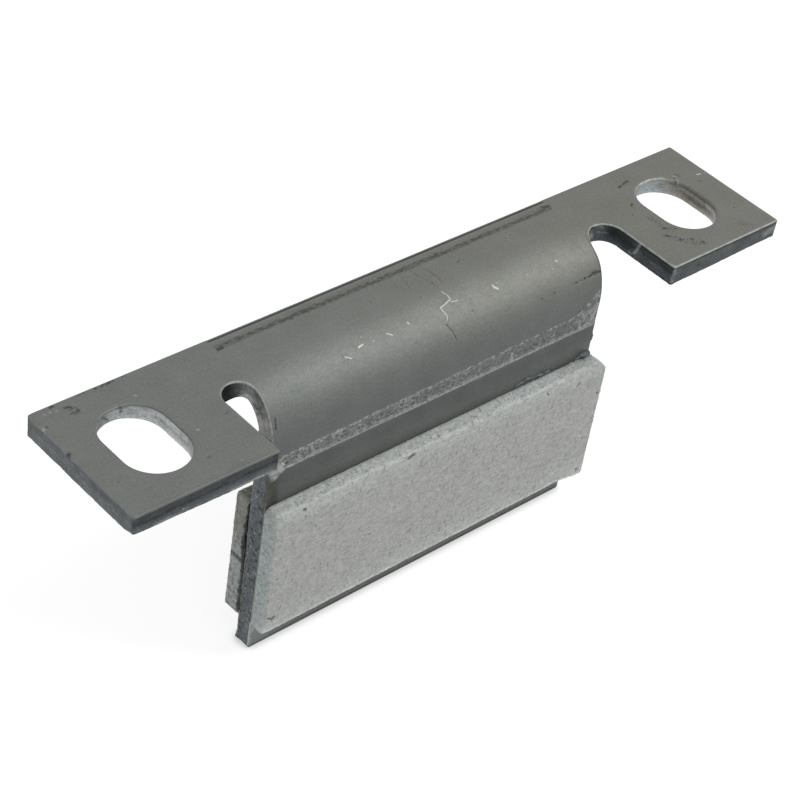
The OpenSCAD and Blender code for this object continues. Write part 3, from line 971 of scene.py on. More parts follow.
def new_tree(name, inputs, outputs):
    """An empty tree with named sockets, the values it is given and the sockets of its results."""
    kind = "GeometryNodeTree" if "Geometry" in inputs else "ShaderNodeTree"
    tree = bpy.data.node_groups.new(name, kind)
    for way, sockets in (("INPUT", inputs), ("OUTPUT", outputs)):
        for label, data in sockets.items():
            tree.interface.new_socket(name=label, in_out=way, socket_type="NodeSocket" + data)
    made = Tree(tree)
    given = {value.socket.name: value for value in made.outputs(made.node("NodeGroupInput"))}
    return made, given, made.node("NodeGroupOutput").inputs


def finish_geometry(made, geometry, material, result):
    """Ends a geometry tree: single real mesh, smooth faces, its material."""
    real = made.value("GeometryNodeRealizeInstances", {"Geometry": geometry})
    soft = made.value("GeometryNodeSetShadeSmooth", {0: real})
    coloured = made.value("GeometryNodeSetMaterial", {"Geometry": soft, "Material": material})
    made.feed(result["Geometry"], coloured)
    return made.tree


def fibre_tree():
    """Loose fibres that lie on a felt mesh, each a short bent thread of a few faces."""
    made, given, result = new_tree("loose_fibres", {
        "Geometry": "Geometry", "Density": "Float", "Length": "Float", "Lift": "Float", "Edge Reach": "Float",
        "Back": "Vector", "Seed": "Int", "Material": "Material"}, {"Geometry": "Geometry"})
    facing = made.vectors("DOT_PRODUCT", made.value("GeometryNodeInputNormal"), given["Back"], "Value")
    edge = made.value("GeometryNodeInputNamedAttribute", {"Name": "edge"}, "Attribute", data_type="FLOAT")
    wanted = made.math("LESS_THAN", facing, 0.5) * made.math("LESS_THAN", edge, given["Edge Reach"])
    spots = made.node("GeometryNodeDistributePointsOnFaces", {
        "Mesh": given["Geometry"], "Selection": wanted, "Density": given["Density"],
        "Seed": given["Seed"]}).outputs
    bend = made.value("GeometryNodeCurvePrimitiveBezierSegment", {
        "Resolution": 5, "Start": (-0.5, 0.0, -0.02), "Start Handle": (-0.2, 0.32, 0.08),
        "End Handle": (0.2, -0.3, 0.1), "End": (0.5, 0.08, 0.0)})
    section = made.value("GeometryNodeCurvePrimitiveCircle", {"Resolution": 3, "Radius": 0.036})
    thread = made.value("GeometryNodeCurveToMesh", {
        "Curve": bend, "Profile Curve": section, "Fill Caps": True})
    leaning = made.value("FunctionNodeRandomValue", {
        0: (-1.0, -1.0, 0.0), 1: (1.0, 1.0, 6.283), 8: given["Seed"]}, data_type="FLOAT_VECTOR")
    tilt = made.value("ShaderNodeCombineXYZ", {"X": given["Lift"], "Y": given["Lift"], "Z": 1.0})
    turn = made.value("FunctionNodeEulerToRotation", {"Euler": made.vectors("MULTIPLY", leaning, tilt)})
    lying = made.value("FunctionNodeRotateRotation", {
        "Rotation": Value(made, spots["Rotation"]), "Rotate By": turn}, rotation_space="LOCAL")
    spread = made.value("FunctionNodeRandomValue", {
        2: 0.45, 3: 1.5, 8: given["Seed"] + 7.0}, 1, data_type="FLOAT")
    placed = made.value("GeometryNodeInstanceOnPoints", {
        "Points": Value(made, spots["Points"]), "Instance": thread, "Rotation": lying,
        "Scale": spread * given["Length"]})
    return finish_geometry(made, placed, given["Material"], result)


def bead_tree():
    """A round bead along a path of edges whose attribute girth is its radius, swollen into lumps."""
    made, given, result = new_tree("lumpy_bead", {
        "Geometry": "Geometry", "Lumps": "Float", "Seed": "Int", "Material": "Material"},
        {"Geometry": "Geometry"})
    path = made.value("GeometryNodeMeshToCurve", {"Mesh": given["Geometry"]})
    even = made.value("GeometryNodeResampleCurve", {"Curve": path, "Length": BEAD_STEP}, mode="LENGTH")
    girth = made.value("GeometryNodeInputNamedAttribute", {"Name": "girth"}, "Attribute", data_type="FLOAT")
    share = made.value("GeometryNodeSplineParameter", None, "Factor")
    from_middle = made.math("ABSOLUTE", share * 2.0 - 1.0)
    taper = made.math("SQRT", made.math("SUBTRACT", 1.001, made.math("POWER", from_middle, 10.0), clamp=True))
    section = made.value("GeometryNodeCurvePrimitiveCircle", {"Resolution": 10, "Radius": 1.0})
    tube = made.value("GeometryNodeCurveToMesh", {
        "Curve": even, "Profile Curve": section, "Scale": girth * taper, "Fill Caps": True})
    shift = made.vectors("ADD", made.value("GeometryNodeInputPosition"), given["Seed"])
    size = (made.noise(shift, LUMP_SCALE) - 0.45) * given["Lumps"] * (girth * 4.0)
    offset = made.value("ShaderNodeVectorMath", {0: made.value("GeometryNodeInputNormal"), "Scale": size},
                        operation="SCALE")
    lumpy = made.value("GeometryNodeSetPosition", {"Geometry": tube, "Offset": offset})
    return finish_geometry(made, lumpy, given["Material"], result)


def grown(name, source, tree, settings):
    """Runs a geometry tree on a source object and gives the result back as a plain mesh object."""
    modifier = source.modifiers.new(tree.name, "NODES")
    modifier.node_group = tree
    for item in tree.interface.items_tree:
        if item.in_out == "INPUT" and item.name in settings:
            modifier[item.identifier] = settings[item.name]
    evaluated = source.evaluated_get(bpy.context.evaluated_depsgraph_get())
    mesh = bpy.data.meshes.new_from_object(evaluated)
    source.modifiers.remove(modifier)
    mesh.name = name
    return put(name, mesh)


LOOSE_FIBRES = fibre_tree()
LUMPY_BEAD = bead_tree()


def grain_group():
    """Fine and coarse mottling of a surface: a shade round 1, and a height for its bump."""
    made, given, result = new_tree("surface_grain", {
        "Vector": "Vector", "Fine Scale": "Float", "Coarse Scale": "Float", "Fine Amount": "Float",
        "Coarse Amount": "Float"}, {"Shade": "Float", "Height": "Float"})
    fine = made.noise(given["Vector"], given["Fine Scale"])
    coarse = made.noise(given["Vector"], given["Coarse Scale"], 3.0, 0.55)
    shade = (fine - 0.5) * given["Fine Amount"] + (coarse - 0.5) * given["Coarse Amount"] + 1.0
    made.feed(result["Shade"], shade)
    made.feed(result["Height"], fine + coarse * 0.5)
    return made.tree


def speckle_group():
    """Scattered specks: the share of the surface that a fine noise lifts above a level."""
    made, given, result = new_tree("speckle", {
        "Vector": "Vector", "Scale": "Float", "Level": "Float", "Softness": "Float"}, {"Mask": "Float"})
    value = made.noise(given["Vector"], given["Scale"], 3.0, 0.65)
    made.feed(result["Mask"], made.step(value, given["Level"], given["Level"] + given["Softness"]))
    return made.tree


def band_group():
    """A band between two values, with edges that wander by a ragged amount."""
    made, given, result = new_tree("ragged_band", {
        "Vector": "Vector", "Value": "Float", "Low": "Float", "High": "Float", "Softness": "Float",
        "Ragged": "Float", "Ragged Scale": "Float"}, {"Mask": "Float"})
    wander = made.noise(given["Vector"], given["Ragged Scale"]) - 0.5
    value = wander * given["Ragged"] + given["Value"]
    soft = given["Softness"]
    rise, drop = [made.step(value, given[name] - soft, given[name] + soft) for name in ("Low", "High")]
    made.feed(result["Mask"], made.math("SUBTRACT", rise, drop, clamp=True))
    return made.tree


GRAIN = grain_group()
SPECKLE = speckle_group()
BAND = band_group()

# Colours, as linear values
STEEL_TOP = (0.165, 0.1725, 0.162, 1)
STEEL_OLIVE = (0.172, 0.172, 0.153, 1)
# painted shade: the tongue's tone, darker than the flange's, and less olive
STEEL_TONGUE_SHADED = (0.128, 0.136, 0.131, 1)
STEEL_UNDER_BAND = (0.100, 0.107, 0.103, 1)
STEEL_PALE = (0.355, 0.37, 0.36, 1)
STEEL_DARK = (0.022, 0.022, 0.020, 1)
STEEL_BROWN = (0.062, 0.058, 0.045, 1)
STEEL_WHITE = (0.62, 0.60, 0.55, 1)
SHEAR_BLUE = (0.098, 0.113, 0.120, 1)
SHEAR_WARM = (0.125, 0.108, 0.090, 1)
SHEAR_DARK = (0.012, 0.015, 0.017, 1)
SHEAR_PALE = (0.42, 0.42, 0.40, 1)
FELT_GREY = (0.385, 0.392, 0.375, 1)
FELT_BLUE = (0.46, 0.525, 0.52, 1)
# painted highlight tone for the felt's upward faces; it also paints the lower front edge paler
FELT_PALE_LIT = (0.50, 0.53, 0.515, 1)
FELT_WHITE = (0.66, 0.67, 0.66, 1)
FELT_DARK = (0.045, 0.045, 0.043, 1)
FELT_BEIGE = (0.26, 0.255, 0.215, 1)
FELT_SHADE = (0.45, 0.49, 0.485, 1)
GLUE_DARK = (0.034, 0.042, 0.046, 1)
GLUE_BLUE = (0.15, 0.18, 0.19, 1)
GLUE_BLACK = (0.006, 0.008, 0.009, 1)
GLUE_DULL = (0.016, 0.020, 0.022, 1)
STEEL_BLUISH = (0.152, 0.170, 0.168, 1)
STEEL_CORNER = (0.190, 0.222, 0.215, 1)
# painted shade on the felt's top next to the steel
FELT_EDGE_SHADE = (0.17, 0.18, 0.172, 1)
FIBRE_GREY = (0.46, 0.475, 0.46, 1)
FIBRE_SOILED = (0.38, 0.385, 0.35, 1)


def new_material(name):
    """An empty material and its tree."""
    material = bpy.data.materials.new(name)
    material.use_nodes = True
    material.node_tree.nodes.clear()
    return material, Tree(material.node_tree)


def surfaced(material, made, inputs, bump=None):
    """A material with its shader. bump is a height, its strength and its distance in metres."""
    if bump:
        inputs["Normal"] = made.value("ShaderNodeBump", dict(zip(("Height", "Strength", "Distance"), bump)))
    made.node("ShaderNodeOutputMaterial", {"Surface": made.value("ShaderNodeBsdfPrincipled", inputs)})
    return material


def rolled_steel():
    """The sheet's two faces: dull rolled steel, scuffed by the press, with stains and scratches; a painted
    highlight on the fold and the rims, and painted shade down the tongue and along its bottom edge.
    """
    material, made = new_material("rolled_steel")
    sheet = made.attribute("sheet", "Vector")
    x, s, _ = made.split(sheet)
    tongue = made.math("LESS_THAN", made.math("ABSOLUTE", x - TONGUE_MIDDLE), TONGUE_HALF + 1.5)
    grain_shade, grain_height = made.group(GRAIN, sheet, 2.9, 0.16, 0.62, 0.3)
    under = made.step(s, BAND_LOW_S - 0.15, BAND_LOW_S - 0.6) * tongue
    low_strip = made.step(s, S_TIP + 4.8, S_TIP + 4.2)
    bright = made.patches(sheet, 1.7, 0.42, 0.6, 0.2, 0.75, 4.0, 0.7, (0.35, 1.3, 1.0))
    mottle = made.patches(sheet, 1.5, 0.42, 0.62, 0.0, 0.5, 4.0, 0.7, (0.7, 1.3, 1.0))
    # painted shade: a dark ragged line along the tongue's bottom edge
    tip_shade = made.step(made.noise(sheet, 0.9) * 0.5 + s, S_TIP + 1.0, S_TIP + 0.45)
    right_brim = made.step(x, TONGUE_RIGHT - 0.42, TONGUE_RIGHT - 0.1) * made.between(s, -30.0, -3.0, 1.5)
    tone = made.layers(
        made.mix(made.step(made.noise(sheet, 0.25) * 60.0 + x, 0.0, 70.0), STEEL_TOP, STEEL_OLIVE),
        (made.patches(sheet, 0.45, 0.5, 0.72, 0.0, 0.6, 4.0, 0.65), STEEL_BLUISH),
        # painted shade: the tongue below the fold gets a darker tone, and a less olive one
        (made.step(s, -5.0, -13.0) * tongue, STEEL_TONGUE_SHADED),
        (under, STEEL_UNDER_BAND),
        # painted light: just above the felt the tongue is lightened back to the flange's tone, against the
        # shade there
        (made.step(s, -18.6, -23.0) * tongue, STEEL_TOP),
        (made.patches(sheet, 0.9, 0.3, 0.7, 0.0, 0.35, 4.0, 0.65) * under, STEEL_UNDER_BAND),
        (mottle * low_strip, STEEL_UNDER_BAND),
        (bright * made.step(s, S_TIP + 1.7, S_TIP + 3.4) * low_strip, STEEL_PALE),
        (low_strip * made.step(x, -24.0, -29.0, 0.0, 0.8), STEEL_CORNER),
        (tip_shade * 0.5, STEEL_DARK),
        (right_brim * tongue * 0.55, STEEL_DARK))
    streak = (made.noise(sheet, 1.0, 2.0, 0.5, (0.06, 2.2, 1.0)) - 0.5) * 0.1 + grain_shade
    # painted highlight: the fold is made lighter where its shine lies
    painted_bend_highlight = made.between(s, -9.0, 0.8, 3.0) * made.between(x, -26.0, 31.0, 5.0)
    colour = made.scaled(tone, streak * (painted_bend_highlight * 0.12 + 1.0))

    # The strip along the back edge: dirt where it starts, fine lines, a shine, and a dark line near the brink
    left, right = STRIP_ENDS
    inside = made.step(x, left - 0.3, left + 0.3) * made.step(x, right + 0.2, right - 0.2)
    dirt = made.group(BAND, sheet, s, STRIP_S - 0.38, STRIP_S + 0.5, 0.28, 0.9, 1.4)[0]
    patchy = made.patches(sheet, 1.5, 0.36, 0.6, 0.3, 1.0, 3.0, 0.65, (0.7, 1.4, 1.0))
    lines = made.patches(sheet, 1.0, 0.45, 0.7, 0.0, 0.16, 2.0, 0.5, (0.08, 5.0, 1.0))
    colour = made.layers(
        colour,
        (dirt * patchy * inside * 0.92, STEEL_BROWN),
        (lines * made.between(s, 5.95, 7.2, 0.15) * inside, STEEL_DARK),
        (made.between(s, 6.72, 6.9, 0.08) * inside * 0.12, STEEL_PALE),
        (made.between(s, 7.08, 7.36, 0.08) * inside * 0.85, STEEL_DARK))

    # The scuffed band below the fold: a line of flecks, a mottled middle and a brighter line of flecks
    lean = x * -BAND_SLOPE + s
    upper = made.group(BAND, sheet, lean, BAND_TOP_S - 0.2, BAND_TOP_S + 0.28, 0.2, 0.5, 0.9)[0]
    lower = made.group(BAND, sheet, s, BAND_LOW_S - 0.13, BAND_LOW_S + 0.15, 0.15, 0.3, 0.6)[0]
    ragged_line = made.group(BAND, sheet, s, BAND_LOW_S - 0.15, BAND_LOW_S + 0.6, 0.2, 0.9, 1.6)[0]
    within = made.between(s, BAND_LOW_S, BAND_TOP_S - 0.1, 0.15)
    flecks = made.specks(sheet, 1.7, 0.44, 0.12, (0.8, 1.0, 1.0))
    few = made.specks(sheet, 1.8, 0.53, 0.1, (0.8, 1.2, 1.0))
    along = made.patches(sheet, 0.5, 0.35, 0.62, 0.45, factors=(1.0, 0.3, 1.0))
    cell_space = made.stretched(sheet, (1.0, 1.15, 1.0))
    cells = made.value("ShaderNodeTexVoronoi", {"Vector": cell_space, "Scale": 1.25}, "Distance",
                       feature="DISTANCE_TO_EDGE")
    net = made.step(cells, 0.16, 0.03) * made.patches(sheet, 2.6, 0.38, 0.6, rough=0.7)
    net = net * made.step(x, 25.0, -12.0, 0.45, 1.0)
    strength = (upper * flecks * 0.9 + within * made.most(few * 0.55, net * 0.75)) * along
    line = lower * made.patches(sheet, 1.9, 0.34, 0.58, 0.12, 0.95, 3.0, 0.7, (0.8, 1.2, 1.0))
    patch_top = made.step(x, 26.0, 31.5) * 3.6 + (BAND_TOP_S - 0.4)
    in_patch = made.step(x, 25.5, 28.5) * made.step(patch_top - s, -0.2, 0.5)
    in_patch = in_patch * made.step(s, BAND_LOW_S, BAND_LOW_S + 0.4)
    torn = made.specks(sheet, 1.5, 0.51, 0.08, (1.0, 0.75, 1.0))
    strength = made.most(strength, ragged_line * flecks * 0.6, in_patch * torn * 0.6)
    strength = made.math("MAXIMUM", strength, line, clamp=True) * tongue
    colour = made.layers(
        colour,
        (made.patches(sheet, 1.0, 0.3, 0.7, 0.0, 0.14, factors=(0.16, 0.16, 1.0)), STEEL_BLUISH),
        (made.between(s, BAND_LOW_S + 0.5, BAND_LOW_S + 1.5, 0.25) * tongue * 0.12, STEEL_DARK),
        (made.specks(sheet, 2.1, 0.53, 0.08) * within * tongue * 0.45, STEEL_DARK),
        (strength, STEEL_PALE))

    # Rims painted brighter as a highlight or darker as shade, then the single marks
    rim_light_share = made.split(made.attribute("tear_rim_light_brown", "Vector"))[1]
    edge = made.attribute("edge")
    # painted highlight: a bright line along the rims; painted shade where the rim's value is negative
    rim = made.step(edge, 0.36, 0.12) * made.patches(sheet, 0.9, 0.3, 0.58, 0.3)
    ragged = made.patches(sheet, 4.0, 0.3, 0.6, 0.35, 1.0, 2.0)
    smears = made.patches(sheet, 1.3, 0.32, 0.55, 0.45, 0.95, factors=(1.6, 0.8, 1.0))
    colour = made.layers(
        colour,
        (made.math("MULTIPLY", rim, made.most(rim_light_share, 0.0), clamp=True), STEEL_PALE),
        (made.step(edge, 0.7, 0.1) * made.math("MULTIPLY", rim_light_share, -1.0, clamp=True), STEEL_DARK),
        (made.attribute("worn") * made.patches(sheet, 2.4, 0.38, 0.58, 0.12, rough=0.7) * 0.85, STEEL_PALE),
        (made.attribute("brown") * made.patches(sheet, 0.9, 0.3, 0.6, 0.55) * 0.8, STEEL_BROWN),
        (made.attribute("smeared") * smears, STEEL_PALE),
        (made.attribute("specked") * made.specks(sheet, 2.4, 0.5, 0.08, (1.0, 1.4, 1.0)) * 0.6, STEEL_DARK),
        (made.attribute("dark") * ragged * 0.85, STEEL_DARK),
        (made.attribute("pale") * ragged * 0.8, STEEL_WHITE))

    on_bend = made.between(s, -9.0, -2.0, 2.0) * tongue
    rough = on_bend * 0.05 + (made.noise(sheet, 0.8) * 0.14 + 0.53)
    height = grain_height + made.noise(sheet, 1.7) * (on_bend * 1.6) + strength * 1.2
    return surfaced(material, made, {"Base Color": colour, "Metallic": 0.9, "Roughness": rough},
                    (height, 0.5, 0.00006))


def sheared_steel():
    """The punched and sheared edges: streaks down the burnished part, torn metal below it."""
    material, made = new_material("sheared_steel")
    upper_share, lower_share, under_share = made.split(made.attribute("wall", "Vector"))
    line_share, _, warmth = made.split(made.attribute("tear_rim_light_brown", "Vector"))
    sheet, cut = made.attribute("sheet", "Vector"), made.attribute("cut", "Vector")
    depth = made.split(cut)[1]
    streaks = made.noise(cut, 1.6, 3.0, 0.65, (1.5, 0.22, 1.0))
    torn = made.noise(cut, 2.0, 4.0, 0.7, (1.0, 1.3, 1.0))
    from_tear = depth - (made.noise(cut, 1.0, factors=(0.35, 0.0, 0.0)) * 1.3 + 0.95)
    broken = made.step(from_tear, -0.15, 0.2)
    lengthwise = made.patches(cut, 1.0, 0.3, 0.7, 0.82, 1.2, factors=(0.3, 2.4, 1.0))
    upper = made.step(streaks, 0.25, 0.75, 0.88, 1.14) * lengthwise * upper_share
    lower = made.step(torn, 0.3, 0.72, 0.74, 1.26) * lower_share
    lower = lower * (made.step(depth, 1.8, 3.1) * line_share * 0.9 + 1.0)
    shade = upper * (1.0 - broken) + lower * broken
    patch = made.patches(cut, 0.8, 0.3, 0.7, 0.8, 1.2, factors=(0.5, 0.6, 1.0))
    rough_line = made.patches(cut, 1.0, 0.35, 0.55, 0.25, factors=(0.9, 0.2, 1.0))
    low_wall = made.step(made.split(sheet)[1], -18.0, -23.0)
    ragged = made.patches(sheet, 3.2, 0.3, 0.6, 0.5)
    across = (1.0, 1.0, 1.6)
    glint = made.math("MULTIPLY", shade, 0.2, clamp=True)
    colour = made.layers(
        made.scaled(made.mix(warmth, SHEAR_BLUE, SHEAR_WARM), shade * patch),
        (made.between(from_tear, -0.25, 0.25, 0.2) * (line_share * rough_line) * 0.55, SHEAR_DARK),
        (made.between(depth, 0.2, 0.5, 0.12) * (under_share * rough_line), SHEAR_DARK),
        (made.specks(sheet, 0.9, 0.66, 0.05, across) * 0.6, SHEAR_DARK),
        (made.specks(sheet, 1.9, 0.52, 0.12, across) * 0.22, SHEAR_DARK),
        (made.specks(sheet, 2.3, 0.62, 0.08, across) * glint, SHEAR_PALE),
        (made.specks(sheet, 1.5, 0.55, 0.07, (1.0, 1.0, 1.3)) * low_wall * 0.8, SHEAR_DARK),
        (made.specks(sheet, 1.8, 0.6, 0.05, (1.0, 1.1, 1.5)) * low_wall * 0.6, SHEAR_PALE),
        (made.attribute("brown") * ragged * 0.8, STEEL_BROWN),
        (made.attribute("dark") * ragged * 0.95, SHEAR_DARK),
        (made.attribute("pale") * ragged, SHEAR_PALE))
    return surfaced(material, made, {"Base Color": colour, "Metallic": 0.85, "Roughness": torn * 0.25 + 0.45},
                    (torn * broken + streaks * 0.5, 0.7, 0.00012))


def felt(name, cool, worn, low_z, high_z, back_y):
    """Pressed grey felt with clumped fibres, dust and a few dark specks.

    cool is how bluish its left end is. worn is how soiled it is; clean felt instead has its upward faces and
    top band painted lighter as highlight, its top painted darker next to the steel as shade, and paler lower
    front edges.
    """
    material, made = new_material(name)
    place = made.place_mm()
    grain_shade, grain_height = made.group(GRAIN, place, 1.9, 0.22, 0.75 + 1.2 * worn, 0.14)
    facing = made.split(made.value("ShaderNodeNewGeometry", None, "Normal"))
    _, depth, height = made.split(place)
    wander = made.noise(place, 0.7) * 1.2 - 0.6
    left = made.step(facing[0] * -1.0, 0.35, 0.8)
    tone = made.mix(left * cool, FELT_GREY, FELT_BLUE)
    if worn > 0:
        middle = low_z + 0.62 * (high_z - low_z)
        ragged_height = wander * 2.0 + height
        shaded = made.step(ragged_height, low_z + 9.0, low_z + 7.0, 0.0, worn)
        spots = made.specks(place, 1.5, 0.5, 0.12, (1.0, 1.0, 0.8))
        tone = made.layers(
            tone,
            (made.step(ragged_height, middle - 1.5, middle + 2.5, 0.0, worn), FELT_BEIGE),
            (shaded, FELT_SHADE),
            (spots * shaded * (left * 0.6 + 0.15), FELT_DARK))
    else:
        edge = made.attribute("edge")
        ragged_height = wander * 2.2 + height
        in_front = made.step(facing[1], -0.3, -0.8)
        # painted highlight: upward faces and a ragged band along the top are painted lighter
        lit_top = made.step(facing[2], 0.25, 0.85, 0.0, 0.75)
        lit_top_band = made.step(ragged_height, high_z - 3.4, high_z - 0.6, 0.0, 0.42)
        # the lower front edge and the lower front are painted paler with the same tone
        rim = made.step(edge, 0.6, 0.15) * in_front * made.step(height, low_z + 6.0, low_z + 3.0)
        low_glow = made.step(ragged_height, low_z + 5.0, low_z + 2.0, 0.0, 0.4) * in_front
        # painted shade: the felt's top is darker next to the steel
        shade_by_steel = made.step(wander * 0.9 + depth, back_y - 0.5, back_y - 0.05)
        tone = made.layers(
            tone,
            (made.most(lit_top, lit_top_band, rim, low_glow), FELT_PALE_LIT),
            (shade_by_steel * made.step(facing[2], 0.2, 0.6, 0.0, 0.25), FELT_EDGE_SHADE),
            (made.step(edge, 0.9, 0.3) * made.step(height, low_z + 3.0, low_z + 1.5) * 0.7, FELT_WHITE))
    combed = made.noise(place, 2.2, 3.0, 0.65, (0.32, 0.7, 1.7))
    deep = left * (0.45 * worn) + (0.1 + 0.1 * worn)
    elsewhere = made.vectors("ADD", place, (31.0, 17.0, 53.0))
    colour = made.layers(
        made.scaled(tone, grain_shade),
        (made.step(combed, 0.36, 0.6, 0.16, 0.0), FELT_DARK),
        (made.patches(place, 1.6, 0.42, 0.6, 0.2, 0.0, factors=(1.0, 0.5, 2.2)) * left, FELT_DARK),
        (made.specks(place, 2.3, 0.6, 0.1, (0.5, 1.0, 1.1)) * 0.4, FELT_WHITE),
        (made.specks(place, 1.9, 0.64 - 0.1 * worn, 0.1) * deep, FELT_DARK),
        (made.specks(place, 1.25, 0.7, 0.03) * 0.7, FELT_WHITE),
        (made.specks(elsewhere, 1.2, 0.735, 0.02) * 0.55, FELT_DARK),
        (made.attribute("dark") * 0.85, FELT_DARK))
    return surfaced(material, made, {"Base Color": colour, "Roughness": 0.95, "Specular IOR Level": 0.2,
                                     "Sheen Weight": 0.15, "Sheen Roughness": 0.5},
                    (grain_height + combed, 0.7, 0.00016))


def felt_fibre(name, tone):
    """Single wool fibres, paler and darker from place to place."""
    material, made = new_material(name)
    shade = made.group(GRAIN, made.place_mm(), 1.2, 0.2, 1.2, 0.2)[0]
    return surfaced(material, made, {"Base Color": made.scaled(tone, shade), "Roughness": 0.85,
                                     "Specular IOR Level": 0.2, "Sheen Weight": 0.2})


def glue(name, tone, haze_and_highlight):
    """Dark contact glue: tacky and slightly glossy, with a bluish bloom that is partly a painted highlight.
    """
    material, made = new_material(name)
    place = made.place_mm()
    bloom_and_highlight = made.patches(place, 1.1, 0.42, 0.66)
    # the bluish bloom is partly a painted highlight
    colour = made.mix(bloom_and_highlight, tone, haze_and_highlight)
    return surfaced(material, made, {"Base Color": colour, "Roughness": bloom_and_highlight * 0.25 + 0.4},
                    (made.noise(place, 2.5), 0.5, 0.0001))


# The camera that took the photograph: place, aim, roll and lens, worked out from the bracket's own edges
CAMERA_AT = Vector((-0.18937, -0.169833, 0.190509))
CAMERA_AIM = Vector((-0.006549, -0.002181, -0.011652))
CAMERA_ROLL = math.radians(9.6438)
CAMERA_LENS = 102.384


def make_camera():
    data = bpy.data.cameras.new("photo_camera")
    camera = put("photo_camera", data)
    forward = (CAMERA_AIM - CAMERA_AT).normalized()
    level = forward.cross(Vector((0, 0, 1))).normalized()
    upright = level.cross(forward)
    right = level * math.cos(CAMERA_ROLL) + upright * math.sin(CAMERA_ROLL)
    up = upright * math.cos(CAMERA_ROLL) - level * math.sin(CAMERA_ROLL)
    turn = Matrix((right, up, -forward)).transposed()
    camera.matrix_world = Matrix.Translation(CAMERA_AT) @ turn.to_4x4()
    data.lens = CAMERA_LENS
    data.sensor_width = 36
    data.clip_start = 0.01
    data.clip_end = 20
    bpy.context.scene.camera = camera


# Light: an even pale room, and one soft lamp in front and to the right
ROOM_LEVEL = 0.74
KEY_WAY = Vector((0.571, -0.365, 0.737))
KEY_DISTANCE = 1.2
KEY_SIZE = 0.45
KEY_POWER = 6.8
FLOOR_COLOUR = 0.5
FLOOR_SEEN = 0.3
FLOOR_LIFT = 0.79
FLOOR_GLOW = 0.22
FLOOR_REACH = 6.0


def make_room():
    scene = bpy.context.scene
    scene.view_settings.view_transform = "Standard"
    scene.world = bpy.data.worlds.new("pale_room")
    scene.world.use_nodes = True
    scene.world.node_tree.nodes.clear()
    made = Tree(scene.world.node_tree)
    level = made.seen() * (1.0 - ROOM_LEVEL) + ROOM_LEVEL
    background = made.value("ShaderNodeBackground", {"Color": (1, 1, 1, 1), "Strength": level})
    made.node("ShaderNodeOutputWorld", {"Surface": background})

    lamp = bpy.data.lights.new("soft_lamp", "AREA")
    lamp.shape = "SQUARE"
    lamp.size = KEY_SIZE
    lamp.energy = KEY_POWER
    key = put("soft_lamp", lamp)
    key.location = KEY_WAY.normalized() * KEY_DISTANCE
    key.rotation_mode = "QUATERNION"
    key.rotation_quaternion = (-KEY_WAY).to_track_quat("-Z", "Y")


def make_floor():
    """A pale floor under the tongue. Where it is lit, it is white to the camera and in the metal."""
    mesh = bpy.data.meshes.new("floor")
    corners = ((-1, -1), (1, -1), (1, 1), (-1, 1))
    places = [(x * FLOOR_REACH, y * FLOOR_REACH, STEEL_LOW[2] * MM) for x, y in corners]
    mesh.from_pydata(places, [], [(0, 1, 2, 3)])
    floor = put("floor", mesh)
    material, made = new_material("pale_floor")
    seen = made.seen()
    grey = made.grey(seen * (FLOOR_SEEN - FLOOR_COLOUR) + FLOOR_COLOUR)
    # painted contact shadow: the floor's glow is dimmed where the AO node finds the object close
    beside = made.value("ShaderNodeAmbientOcclusion", {"Distance": 0.0016}, "AO", samples=8)
    contact_shade = made.most(made.step(beside, 0.45, 1.0, 0.62, 1.0), 1.0 - seen)
    level = (seen * (FLOOR_LIFT - FLOOR_GLOW) + FLOOR_GLOW) * contact_shade
    paper = made.value("ShaderNodeBsdfDiffuse", {"Color": grey})
    lift = made.value("ShaderNodeEmission", {"Color": (1, 1, 1, 1), "Strength": level})
    lit = made.value("ShaderNodeAddShader", {0: paper, 1: lift})
    clear = made.value("ShaderNodeBsdfTransparent")
    from_below = made.value("ShaderNodeNewGeometry", None, "Backfacing")
    surface = made.value("ShaderNodeMixShader", {0: from_below, 1: lit, 2: clear})
    made.node("ShaderNodeOutputMaterial", {"Surface": surface})
    mesh.materials.append(material)


make_camera()
make_room()
make_floor()

bracket(rolled_steel(), sheared_steel())
clean_felt = felt("front_felt", 0.9, 0.0, FRONT_LOW[2], FRONT_HIGH[2], FRONT_HIGH[1])
lining("front_felt", "front_lining", FRONT_LOW, FRONT_HIGH, clean_felt, felt_fibre("pale_fibre", FIBRE_GREY),
       sag=FRONT_SAG, snip=SNIP, face_y=FRONT_LOW[1], way=1, lip=0.16, marks=LINING_MARKS, reach=1.2, seed=40)
soiled_felt = felt("rear_felt", 0.5, 0.75, REAR_LOW[2], REAR_HIGH[2], REAR_LOW[1])
lining("rear_felt", "rear_lining", REAR_LOW - INTO_GLUE, REAR_HIGH, soiled_felt,
       felt_fibre("soiled_fibre", FIBRE_SOILED), sag=0, snip=0, face_y=REAR_HIGH[1] + 0.1, way=-1, lip=0.0,
       marks=END_MARKS, reach=9.0, seed=60)
GLUE = glue("contact_glue", GLUE_DARK, GLUE_BLUE)
OLD_GLUE = glue("old_glue", GLUE_BLACK, GLUE_DULL)
glue_film("front_glue", "front_adhesive", FRONT_GLUE_LOW, FRONT_GLUE_HIGH, (-0.4, 0.4, 0.0, 0.1), GLUE, 80)
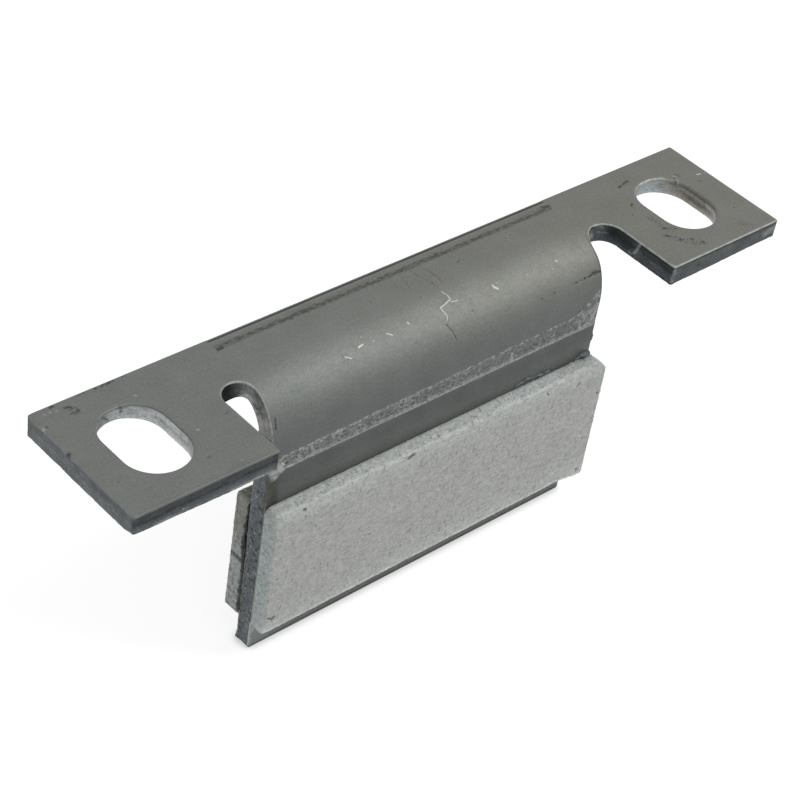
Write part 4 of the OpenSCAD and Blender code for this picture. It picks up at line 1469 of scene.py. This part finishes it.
glue_film("rear_glue", "rear_adhesive", REAR_GLUE_LOW, REAR_GLUE_HIGH, (0.2, 0.3, 0.2, 0.2), OLD_GLUE, 90)
glue_bead("squeezed_glue_side", 2.0, OLD_GLUE, 100, (-31.3, -0.45, -19.7, 0.06), (-31.35, -0.4, -22.6, 0.1),
          (-31.4, -0.5, -25.0, 0.18), (-31.4, -0.45, -26.4, 0.24), (-31.45, -0.6, -27.6, 0.22),
          (-31.45, -0.75, -28.8, 0.36), (-31.45, -0.75, -29.8, 0.26), (-31.45, -0.7, -30.8, 0.12),
          (-31.4, -0.8, -33.6, 0.14), (-31.4, -0.95, -36.4, 0.2), (-31.4, -1.0, -39.0, 0.24),
          (-31.4, -0.95, -41.2, 0.1))
glue_bead("squeezed_glue_corner", 0.9, GLUE, 110, (28.6, -3.75, -18.7, 0.14), (30.2, -3.8, -18.1, 0.42),
          (31.5, -3.75, -18.2, 0.4), (32.0, -3.6, -18.8, 0.2))
glue_bead("squeezed_glue_nick", 0.9, GLUE, 140, (31.6, -3.6, -14.3, 0.1), (31.75, -3.5, -15.2, 0.2),
          (31.65, -3.5, -16.6, 0.08))
glue_bead("squeezed_glue_top", 0.9, GLUE, 120, (-30.9, -3.72, -19.0, 0.03), (-24.0, -3.7, -18.95, 0.04),
          (-15.0, -3.72, -19.0, 0.05), (-8.0, -3.7, -18.9, 0.06), (0.0, -3.72, -18.95, 0.06),
          (9.0, -3.72, -18.9, 0.08), (17.0, -3.73, -18.85, 0.1), (24.0, -3.75, -18.8, 0.12),
          (28.5, -3.75, -18.75, 0.14))
glue_bead("squeezed_glue_wave", 0.8, GLUE, 130, (15.6, -3.72, -18.6, 0.06), (17.0, -3.74, -18.1, 0.12),
          (18.0, -3.75, -17.85, 0.17), (18.9, -3.76, -17.85, 0.18), (19.8, -3.76, -18.2, 0.14),
          (20.8, -3.75, -18.15, 0.13), (21.8, -3.75, -18.3, 0.15), (23.1, -3.75, -18.25, 0.13),
          (24.6, -3.72, -18.65, 0.06))
